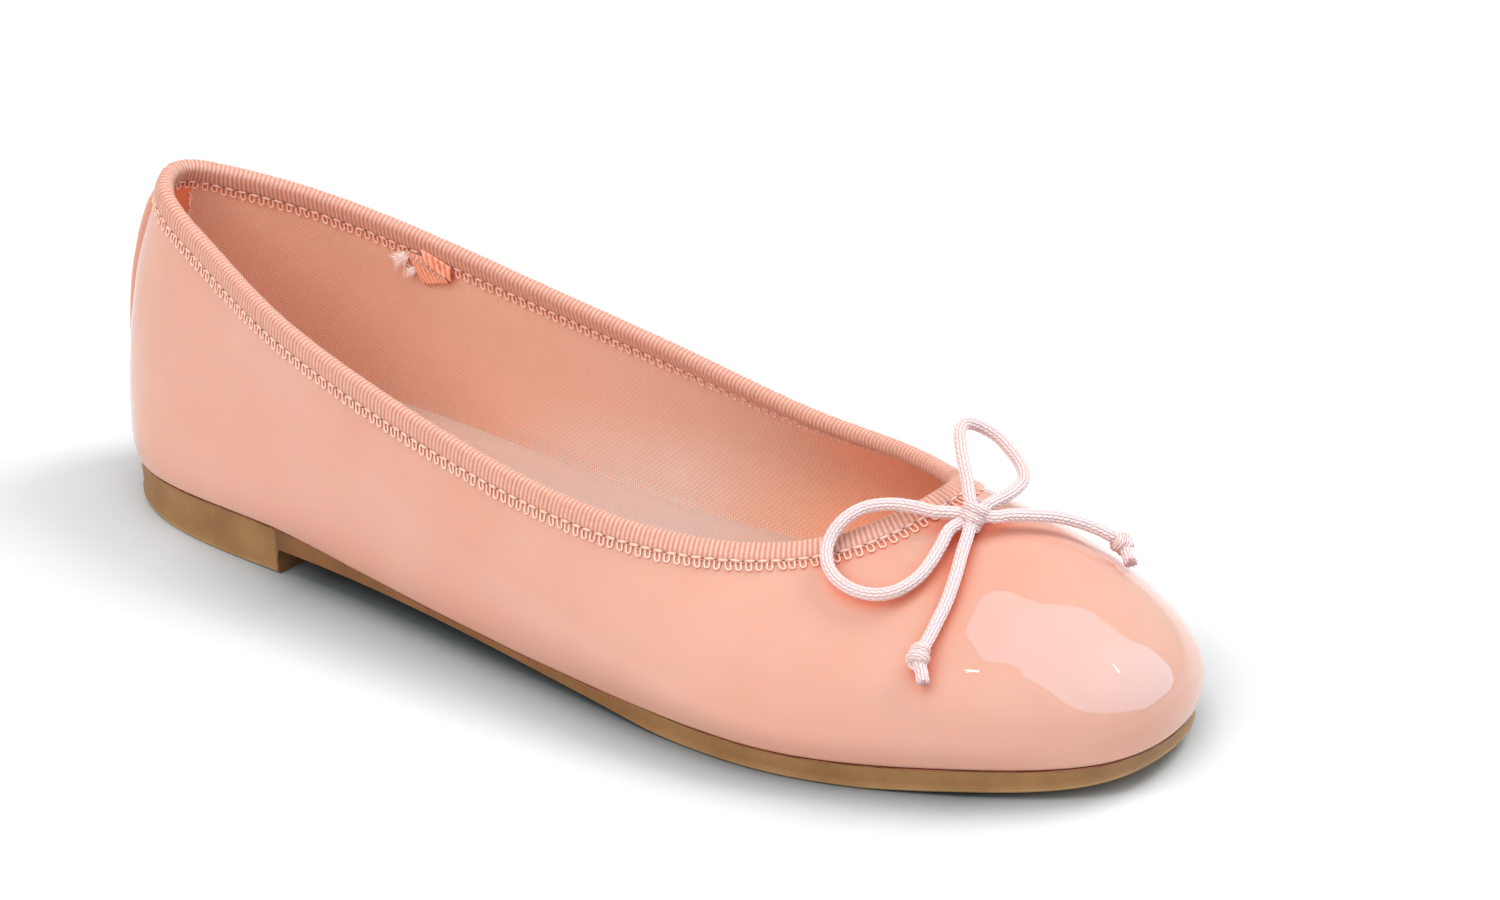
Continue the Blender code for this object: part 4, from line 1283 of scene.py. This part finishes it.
def tape_flap(name, skin, corners, ribs, tape):
    """A loose end of the ribbed tape: a thin slab between four corners on the inner wall."""
    columns = ribs * RIB_COLUMNS + 1
    shares = [np.linspace(0, 1, count) for count in (FLAP_ROWS, columns)]
    v, u = [grid[..., None] for grid in np.meshgrid(*shares, indexing="ij")]
    start, foot, far_foot, far_start = [np.array(corner) for corner in corners]
    places = start * (1 - u) * (1 - v) + foot * (1 - u) * v + far_foot * u * v + far_start * u * (1 - v)
    rib = np.sin(math.pi * rib_phase(columns)) ** 0.55
    edge = np.clip(np.minimum(np.arange(columns), columns - 1 - np.arange(columns)) / 2.0, 0, 1)
    buckle = 0.22 * np.sin(math.pi * v[..., 0]) * np.sin(2.2 * math.pi * u[..., 0] + 0.6)
    lift = places[..., 2] + buckle
    front = inner(skin, places[..., 0], places[..., 1], lift + 0.22 * rib * edge)
    back = inner(skin, places[..., 0], places[..., 1], lift - FLAP_THICKNESS / MM)
    points = np.concatenate([front, back[::-1]])
    shade = np.broadcast_to(rib * edge, (FLAP_ROWS, columns))
    relief = np.concatenate([shade, shade[::-1]])
    flap = grid_piece(name, points, [tape], wrap_columns=False, wrap_rows=True, relief=relief)


def yarn_loops(beads, skin, start, end, count, radius, lift):
    """A row of small yarn loops from one spot on the inner wall to another."""
    start = np.array(start)
    end = np.array(end)
    for index in range(count):
        share = (index + np.linspace(0.05, 0.95, 9)) / count
        places = start + share[:, None] * (end - start)
        bulge = np.sin(np.linspace(0, math.pi, 9))
        curve = inner(skin, places[:, 0], places[:, 1] + 1.3 * bulge, lift + 0.25 * bulge)
        beads.tube(curve, radius, 5)


def tuft(beads, skin, turn, depth, size, count, rng):
    """A frayed tuft of fibres at the cut end of the tape."""
    root = inner(skin, np.array([turn - 1.2]), np.array([depth - 1.2]), np.array([0.9]))[0]
    lean = inner(skin, np.array([turn + 1.2]), np.array([depth + 1.6]), np.array([0.9]))[0] - root
    lean = unit(lean)
    off = unit(root - inner(skin, np.array([turn - 1.2]), np.array([depth - 1.2]), np.array([0.0]))[0])
    steps = np.linspace(0, 1, 7)[:, None]
    for _ in range(count):
        spread = rng.normal(size=3) * 0.34
        heading = unit(lean + spread - min(0.0, float(np.dot(spread, off))) * off)
        reach = size * MM * rng.uniform(0.55, 1.1)
        start = root + rng.normal(size=3) * 0.28 * MM
        curl = rng.normal(size=3) * 0.28 * reach
        curve = start + reach * steps * heading + steps ** 2 * curl + np.sin(steps * math.pi) * off * 0.3 * MM
        beads.tube(curve, FIBRE * (1 - 0.4 * steps[:, 0]), 4)


def make_tape_join(skin, tape, thread, fluff):
    """Where the binding's two ends meet, inside the inner wall: a flap, a fold, loops and fray."""
    tape_flap("tape_end_flap", skin, FLAP_CORNERS, 8, tape)
    tape_flap("tape_end_fold", skin, FOLD_CORNERS, 5, tape)
    loops = Beads()
    yarn_loops(loops, skin, *TAPE_LOOPS)
    loops.piece("tape_end_loops", thread)
    rng = np.random.default_rng(17)
    fibres = Beads()
    for turn, depth, size, count in TUFTS:
        tuft(fibres, skin, turn, depth, size, count, rng)
    fibres.piece("tape_end_fray", fluff)


def make_heel_strip(skin, backing, fluff):
    """The bare strip that covers the heel's seam inside, and the frayed edges of the lining beside it."""
    turns = np.linspace(-HEEL_STRIP_TURN, HEEL_STRIP_TURN, 31)[None, :]
    depths = np.linspace(*HEEL_STRIP_DEPTHS, 40)[:, None]
    edge = np.clip((HEEL_STRIP_TURN - np.abs(turns)) / 1.2, 0, 1) ** 0.5
    points = inner(skin, turns, depths, 0.05 + 0.22 * edge + 0 * depths)
    strip = grid_piece("heel_seam_strip", points, [backing], wrap_columns=False)
    rng = np.random.default_rng(29)
    fibres = Beads()
    for side_sign in (-1, 1):
        for depth in HEEL_FRAY_DEPTHS:
            turn = side_sign * (HEEL_STRIP_TURN + 0.2 + 0.2 * rng.normal())
            reach = -side_sign * rng.uniform(0.3, 1.1)
            places = turn + reach * np.linspace(0, 1, 5)
            downs = depth + rng.normal() * 0.9 * np.linspace(0, 1, 5) ** 1.5
            curve = inner(skin, places, downs, 0.32 + 0.3 * rng.uniform() * np.linspace(0, 1, 5))
            fibres.tube(curve, FIBRE, 4)
    fibres.piece("heel_lining_fray", fluff)


# ---------------------------------------------------------------- feather line

GLUE_INSET = 1.0 * MM       # the line's middle, inwards from the seat line
GLUE_RISE = 0.28 * MM       # and above the sole's top
GLUE_RADIUS = 0.09 * MM
GLUE_SPECKS = 150


def make_feather_line(glue):
    """The thin dark line of glue between upper and sole, with its small uneven specks."""
    turns = np.arange(0, 360, 0.5)
    seat = seat_line(turns)
    sideways = outward(seat)
    rng = np.random.default_rng(41)
    wave = 0.10 * MM * ripples(seat, 5 * MM, 43)
    sag = hem_sag(seat[:, 0])
    line = seat - (GLUE_INSET - 0.12 * sag - wave)[:, None] * sideways
    line[:, 2] = along("seat", line[:, 0]) + SOLE_LEVEL + GLUE_RISE - sag
    beads = Beads()
    ring = np.concatenate([line, line[:1]])
    beads.tube(ring, GLUE_RADIUS + 0.5 * np.append(wave, wave[0]), 6)
    for turn in rng.uniform(0, 360, GLUE_SPECKS):
        index = int(turn * 2) % len(line)
        spot = line[index] + 0.22 * MM * sideways[index] + np.array([0, 0, rng.normal() * 0.1 * MM])
        heading = unit(line[(index + 1) % len(line)] - line[index])
        size = rng.uniform(0.10, 0.30) * MM
        beads.ball(spot, np.array([size * rng.uniform(1.0, 2.4) * heading, 0.12 * MM * sideways[index],
                                   np.array([0, 0, rng.uniform(0.10, 0.2) * MM])]), 6, 4)
    beads.piece("feather_line", glue)


# ---------------------------------------------------------------- bow

BRAID_STRANDS = 10          # lengthwise rows of stitches round the cord
STRAND_COLUMNS = 7          # mesh columns to each of them
BRAID_CELL = 1.25 * MM      # length of a stitch
BRAID_SLANT = 0.8
BRAID_STEP = 0.13 * MM
BRAID_RELIEF = 0.24 * MM
CORD_HALF_WIDTH = 1.27 * MM
CORD_HALF_THICKNESS = 1.13 * MM
WRAP_HALF_WIDTH = 1.15 * MM     # the cord where a knot pulls it tight
WRAP_HALF_THICKNESS = 1.0 * MM


def flat_frames(curve, facing):
    """The width and thickness directions of a flattish cord that lies with its broad side to facing."""
    tangents = unit(np.gradient(curve, axis=0))
    facing = np.broadcast_to(np.asarray(facing, float), curve.shape)
    thick = unit(facing - (facing * tangents).sum(1, keepdims=True) * tangents)
    return np.cross(tangents, thick), thick


def braided(curve, half_width, half_thickness, facing):
    """Surface of a braided cord along a curve: points[row, column] and its relief from 0 to 1."""
    across, thick = flat_frames(curve, facing)
    run = run_of(curve, 0, False)
    count = BRAID_STRANDS * STRAND_COLUMNS
    columns = np.arange(count)
    angles = columns * 2 * math.pi / count
    strand = columns // STRAND_COLUMNS
    across_strand = columns % STRAND_COLUMNS / STRAND_COLUMNS - 0.5
    hand = np.where(strand % 2 == 0, 1.0, -1.0)
    phase = run[:, None] / BRAID_CELL + (hand * across_strand * BRAID_SLANT + 0.5 * (strand % 2))[None, :]
    along_stitch = phase - np.floor(phase) - 0.5
    crown = np.clip(1 - np.abs(2 * across_strand) ** 2.2, 0, 1) ** 0.6
    relief = crown[None, :] * np.clip(1 - np.abs(2 * along_stitch) ** 2.6, 0, 1) ** 0.5
    wide = np.broadcast_to(np.asarray(half_width, float), (len(curve),))[:, None] - BRAID_RELIEF
    thin = np.broadcast_to(np.asarray(half_thickness, float), (len(curve),))[:, None] - BRAID_RELIEF
    cos_a = np.cos(angles)[None, :]
    sin_a = np.sin(angles)[None, :]
    lean = np.hypot(thin * cos_a, wide * sin_a)
    rise = BRAID_RELIEF * relief
    sideways = wide * cos_a + rise * thin * cos_a / lean
    upwards = thin * sin_a + rise * wide * sin_a / lean
    points = curve[:, None] + sideways[..., None] * across[:, None] + upwards[..., None] * thick[:, None]
    return points, relief


def capped(points, relief):
    """Rows that close a cord's two ends in a soft round."""
    first = points[0].mean(0)
    last = points[-1].mean(0)
    shrink = (0.9, 0.55, 0.05)
    head = [first + (points[0] - first) * share for share in shrink[::-1]]
    tail = [last + (points[-1] - last) * share for share in shrink]
    rows = np.concatenate([head, points, tail])
    shade = np.concatenate([[relief[0]] * 3, relief, [relief[-1]] * 3])
    return rows, shade


def cord_piece(name, curve, finish, facing, half_width=CORD_HALF_WIDTH, half_thickness=CORD_HALF_THICKNESS):
    """A braided cord along a curve as a piece of the shoe."""
    points, relief = capped(*braided(curve, half_width, half_thickness, facing))
    return grid_piece(name, points, [finish], relief=relief)


def smooth_route(route, spacing):
    """A route given in millimetres as evenly spaced points of a smooth curve."""
    return evenly_spaced(catmull_rom([np.array(point) * MM for point in route], 24), spacing)


def coil(centre, axis, start, radius, pitch, turns):
    """A short helix round a knot's core, its two ends tucked into the middle."""
    first = unit(start - np.dot(start, axis) * axis)
    second = np.cross(axis, first)
    t = np.linspace(-0.2, turns + 0.2, 220)
    tuck = np.clip(np.minimum(t + 0.2, turns + 0.2 - t) / 0.28, 0, 1)
    reach = radius * (0.35 + 0.65 * np.sin(tuck * math.pi / 2))
    level = (np.clip(t, 0, turns) - turns / 2) * pitch
    ring = np.cos(2 * math.pi * t)[:, None] * first + np.sin(2 * math.pi * t)[:, None] * second
    return centre + reach[:, None] * ring + level[:, None] * axis


def wrap_piece(name, centre, axis, start, radius, pitch, turns, finish):
    """The wraps of a knot pulled tight, as a piece of the shoe."""
    centre = np.array(centre) * MM
    axis = unit(np.array(axis))
    curve = evenly_spaced(coil(centre, axis, start, radius, pitch, turns), BRAID_STEP)
    away = curve - centre
    facing = unit(away - (away @ axis)[:, None] * axis)
    return cord_piece(name, curve, finish, facing, WRAP_HALF_WIDTH, WRAP_HALF_THICKNESS)


def stub_fibres(beads, tip, direction):
    """Short frayed fibres at a cord's cut end."""
    rng = np.random.default_rng(31)
    direction = unit(direction)
    for _ in range(STUB_FIBRES):
        spread = rng.normal(size=3)
        spread -= np.dot(spread, direction) * direction
        start = tip + unit(spread) * STUB_RADIUS * math.sqrt(rng.uniform(0, 1)) * 0.95 - 0.5 * MM * direction
        heading = unit(direction + 0.4 * rng.normal(size=3))
        reach = STUB_LENGTH * rng.uniform(0.5, 1.0)
        bend = 0.25 * reach * rng.normal(size=3)
        steps = np.linspace(0, 1, 5)[:, None]
        curve = start + reach * steps * heading + steps ** 2 * bend
        beads.tube(curve, FIBRE * (1 - 0.6 * steps[:, 0]), 4)


# Each tail: its route, its end knot, the stub's tip, and the way its broad side faces
TAILS = {
    "lateral": (LATERAL_TAIL_ROUTE, LATERAL_END_KNOT, ((213.4, -27.2, 24.4), (214.6, -28.2, 22.6)),
                (0.45, -0.55, 0.7)),
    "medial": (MEDIAL_TAIL_ROUTE, MEDIAL_END_KNOT, ((225.0, 23.0, 32.3), (226.6, 21.8, 31.2)),
               (0.5, -0.35, 0.8)),
}
LOOPS = {
    "lateral": (LATERAL_LOOP_ROUTE, (0.3, -0.55, 0.78)),
    "medial": (MEDIAL_LOOP_ROUTE, (0.5, -0.6, 0.62)),
}
KNOT_AXIS = (0.211, 0.609, 0.763)
# A knot's wraps: the way to where they start, radius, pitch, turns
BOW_WRAP = ((0.8, -0.5, 0.2), 1.8 * MM, 1.75 * MM, 2.4)
TAIL_WRAP = ((0.6, -0.6, 0.5), 1.25 * MM, 1.7 * MM, 1.6)
LOOP_START = 0.45           # where a loop starts on the way from the knot's centre to its route
TAIL_START = 0.35
STUB_FIBRES = 140
STUB_RADIUS = 1.3 * MM
STUB_LENGTH = 0.9 * MM


def towards_knot(point, share):
    """A point on the line from the bow's knot to the one given, at a share of the way."""
    knot = np.array(KNOT_CENTRE)
    return tuple(knot + share * (np.array(point) - knot))


def make_bow(satin):
    """The drawstring's bow: two loops, two tails with a knot near each end, and the knot between."""
    knot = wrap_piece("bow_knot_wraps", KNOT_CENTRE, KNOT_AXIS, *BOW_WRAP, satin)
    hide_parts("bow_knot")
    for name, (route, facing) in LOOPS.items():
        ends = [towards_knot(point, LOOP_START) for point in (route[0], route[-1])]
        curve = smooth_route((ends[0], *route, ends[1]), BRAID_STEP)
        loop = cord_piece(f"{name}_loop", curve, satin, facing)
        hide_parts(f"bow_loop_{name}")
        declare_cord(curve)
    for name, (route, end_knot, stub, facing) in TAILS.items():
        curve = smooth_route((towards_knot(route[0], TAIL_START), *route, end_knot, *stub), BRAID_STEP)
        tail = cord_piece(f"{name}_tail", curve, satin, facing)
        heading = np.array(end_knot) - np.array(route[-1])
        end = wrap_piece(f"{name}_tail_knot", end_knot, heading, *TAIL_WRAP, satin)
        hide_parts(f"tail_knot_{name}")
        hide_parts(f"bow_tail_{name}")
        fibres = Beads()
        stub_fibres(fibres, curve[-1], curve[-1] - curve[-6])
        frayed = fibres.piece(f"{name}_tip_fibres", satin)
        declare_cord(curve)


def declare_cord(curve):
    """The length of a free cord along the line that it follows; nothing is done with it."""
    length = float(run_of(curve, 0, False)[-1])


# ---------------------------------------------------------------- surroundings

FLOOR_SIZE = 8.0
SHADOW_REACH = 0.027
SHADOW_SHADES = ((0.28, (0.16, 0.18, 0.18)), (0.75, (0.74, 0.755, 0.76)), (1.0, WHITE))
# How much of the dusk beside the shoe is left out, at places along it from the back of the heel
SHADOW_FADES = ((-0.10, 0.45), (0.03, 0.75), (0.065, 0.0), (0.222, 0.05), (0.250, 0.95))
PANEL_AZIMUTH = 22.0        # where the light panel stands, from the toe's direction to the inner side
PANEL_ELEVATION = 45.0
PANEL_DISTANCE = 1.2
PANEL_AIM = (0.215, 0.0, 0.03)     # from the back of the heel
# Outline of the panel, in tangents of the angles from its middle
PANEL_OUTLINE = (
    (-0.21, 1.53), (-0.05, 1.49), (0.11, 1.30), (0.17, 1.23), (0.12, 1.17), (0.10, 0.93), (0.22, 0.75),
    (0.43, 0.56), (0.43, 0.35), (0.40, 0.24), (0.48, 0.09), (0.68, -0.10), (0.89, -0.56), (0.91, -0.85),
    (0.70, -0.95), (0.32, -0.86), (-0.09, -0.80), (-0.41, -0.53), (-0.79, -0.26), (-0.93, 0.05),
    (-0.88, 0.34), (-0.69, 0.70), (-0.62, 1.06), (-0.49, 1.15), (-0.30, 1.48),
)
PANEL_COLOR = (0.30, 0.735, 1.0)
PANEL_STRENGTH = 5.5
# The two bare lamps just before it that give the toe its glints: middle, half length, half width
GLINT_LAMPS = (
    ((-0.537, 1.215), (0.001, 0.033), (0.011, 0.005)),
    ((-0.051, 0.226), (-0.0155, -0.062), (0.0095, -0.0036)),
)
GLINT_DISTANCE = 0.98 * PANEL_DISTANCE
GLINT_STRENGTH = 60.0
# The studio's lights: name, azimuth and elevation in degrees, distance and size in metres, power in watts
LIGHTS = (
    ("key", 62, 53, 1.6, 0.8, 15.0),
    ("top", -90, 80, 1.6, 1.0, 6.1),
    ("fill", -74, 42, 1.8, 1.4, 9.0),
    ("side", -112, 42, 1.6, 0.6, 5.2),
    ("low", -84, 7, 1.8, 0.4, 2.4),
)
LIGHT_AIM = np.array([0.0, 0.0, 0.03])
AIR_STRENGTH = 0.68         # of the white air all round
FLOOR_WHITE = (0.71, 0.71, 0.71)
FLOOR_SHADES = ((0.685, 0.702, 0.708), (0.695, 0.712, 0.718))


def view_axes(azimuth, elevation):
    """The direction at angles in degrees, and the two directions square to it: across and upwards."""
    turn = math.radians(azimuth)
    rise = math.radians(elevation)
    out = np.array([math.cos(rise) * math.cos(turn), math.cos(rise) * math.sin(turn), math.sin(rise)])
    across = np.array([-math.sin(turn), math.cos(turn), 0.0])
    return out, across, np.cross(out, across)


def emitter(name, color, strength):
    """A light-emitting material."""
    made = bpy.data.materials.new(name)
    made.use_nodes = True
    tree = made.node_tree
    tree.nodes.clear()
    glow = add_node(tree, "Emission", strength=strength)
    glow.inputs["Color"].default_value = (*color, 1.0)
    out = tree.nodes.new("ShaderNodeOutputMaterial")
    link(tree, glow.outputs[0], out.inputs["Surface"])
    return made


def mirrored_light(name, outline, distance, color, strength):
    """A glowing sheet that lights nothing by itself: only reflections show it."""
    out, across, upright = view_axes(PANEL_AZIMUTH, PANEL_ELEVATION)
    centre = np.array(PANEL_AIM) + ROOT
    corners = [centre + distance * (out + u * across + v * upright) for u, v in outline]
    mesh = bpy.data.meshes.new(name)
    mesh.from_pydata([corner.tolist() for corner in corners], [], [tuple(range(len(corners)))])
    mesh.materials.append(emitter(f"{name}_glow", color, strength))
    panel = add_object(name, mesh)
    panel.visible_camera = False
    panel.visible_diffuse = False
    panel.visible_shadow = False
    panel.visible_transmission = False


def make_mirrored_lights():
    """The softbox and the two bare lamps that the toe mirrors."""
    mirrored_light("light_panel", PANEL_OUTLINE, PANEL_DISTANCE, PANEL_COLOR, PANEL_STRENGTH)
    for index, (middle, run, width) in enumerate(GLINT_LAMPS):
        middle, run, width = [np.array(part) for part in (middle, run, width)]
        outline = [middle + run + width, middle - run + 0.4 * width, middle - run - 0.4 * width,
                   middle + run - width]
        mirrored_light(f"glint_lamp_{index}", outline, GLINT_DISTANCE, WHITE, GLINT_STRENGTH)


def area_light(name, azimuth, elevation, distance, size, power):
    """A soft light that looks at the shoe from a direction. Reflections don't show it."""
    data = bpy.data.lights.new(name, "AREA")
    data.shape = "DISK"
    data.size = size
    data.energy = power
    out, across, upright = view_axes(azimuth, elevation)
    lamp = add_object(name, data, placed(across, upright, out, LIGHT_AIM + distance * out))
    lamp.visible_glossy = False


def make_surroundings():
    """White sweep, white air all round, and the studio's lights."""
    half = FLOOR_SIZE / 2
    mesh = bpy.data.meshes.new("floor")
    mesh.from_pydata([(-half, -half, 0), (half, -half, 0), (half, half, 0), (-half, half, 0)], [],
                     [(0, 1, 2, 3)])
    made, tree, shader = new_material("white_floor", FLOOR_WHITE, 0.6, specular_ior_level=0.2)
    shades = mottle(tree, noise(tree, 2.0), *FLOOR_SHADES)
    dusk = painted_shade_by_openness(tree, SHADOW_REACH, SHADOW_SHADES, 16)
    fade = along_ramp(tree, [(x, darker(WHITE, share)) for x, share in SHADOW_FADES])
    link(tree, tint(tree, shades, mix_color(tree, fade, dusk, WHITE)), shader.inputs["Base Color"])
    mesh.materials.append(made)
    add_object("floor", mesh)
    make_mirrored_lights()
    for light in LIGHTS:
        area_light(*light)
    world = bpy.data.worlds.new("white_air")
    bpy.context.scene.world = world
    world.use_nodes = True
    ground = world.node_tree.nodes["Background"]
    ground.inputs["Color"].default_value = (*WHITE, 1.0)
    ground.inputs["Strength"].default_value = AIR_STRENGTH
    bpy.context.scene.view_settings.view_transform = "Standard"


# ---------------------------------------------------------------- the shoe

def build():
    """Make everything."""
    make_camera()
    satin = satin_cord()
    make_bow(satin)
    patent = patent_leather()
    lining = woven_cloth("lining_cloth", 0.48 * MM, CLOTH, CLOTH_THREAD_LIGHT, CLOTH_HOLLOW_SHADE, pale_foot=True)
    sock = woven_cloth("insole_cloth", 0.48 * MM, SOCK, SOCK_THREAD_LIGHT, SOCK_HOLLOW_SHADE)
    tape = ribbed_tape("binding_tape", (TAPE_GROOVE_SHADE, TAPE_SIDE_SHADE, TAPE, TAPE_CREST_LIGHT))
    # A brighter copy of the tape, painted light for its loose ends inside the shoe
    inside_lit_tape = ribbed_tape("inside_lit_tape", INSIDE_LIT_TAPE_SHADES)
    thread = sewing_thread("stitching", THREAD)
    # Painted shade for the needle holes
    dark = plain_finish("stitch_hole", HOLE_SHADE, 0.9, 0.7, (1500.0,))
    rubber = sole_rubber("sole_rubber", RUBBER, RUBBER_PALE)
    make_upper(patent, lining)
    make_insole(sock)
    pale_edge = sole_rubber("sole_edge_rubber", RUBBER_EDGE, RUBBER_EDGE_PALE)
    make_outsole(rubber, pale_edge)
    make_backstay(patent, thread, dark)
    skin = Skin()
    make_binding(skin, tape, thread, sewing_thread("picot_yarn", PICOT, 0.04), dark)
    fluff = sewing_thread("frayed_yarn", FLUFF, 0.12)
    make_tape_join(skin, inside_lit_tape, thread, fluff)
    backing = plain_finish("heel_backing", BACKING, 0.45, 0.85, (160.0, 3.0), ((900.0, 3.0), 0.05 * MM, 0.6))
    make_heel_strip(skin, backing, fluff)
    make_feather_line(plain_finish("glue_line", GLUE, 0.5, 0.7, (1500.0,)))
    make_surroundings()


build()
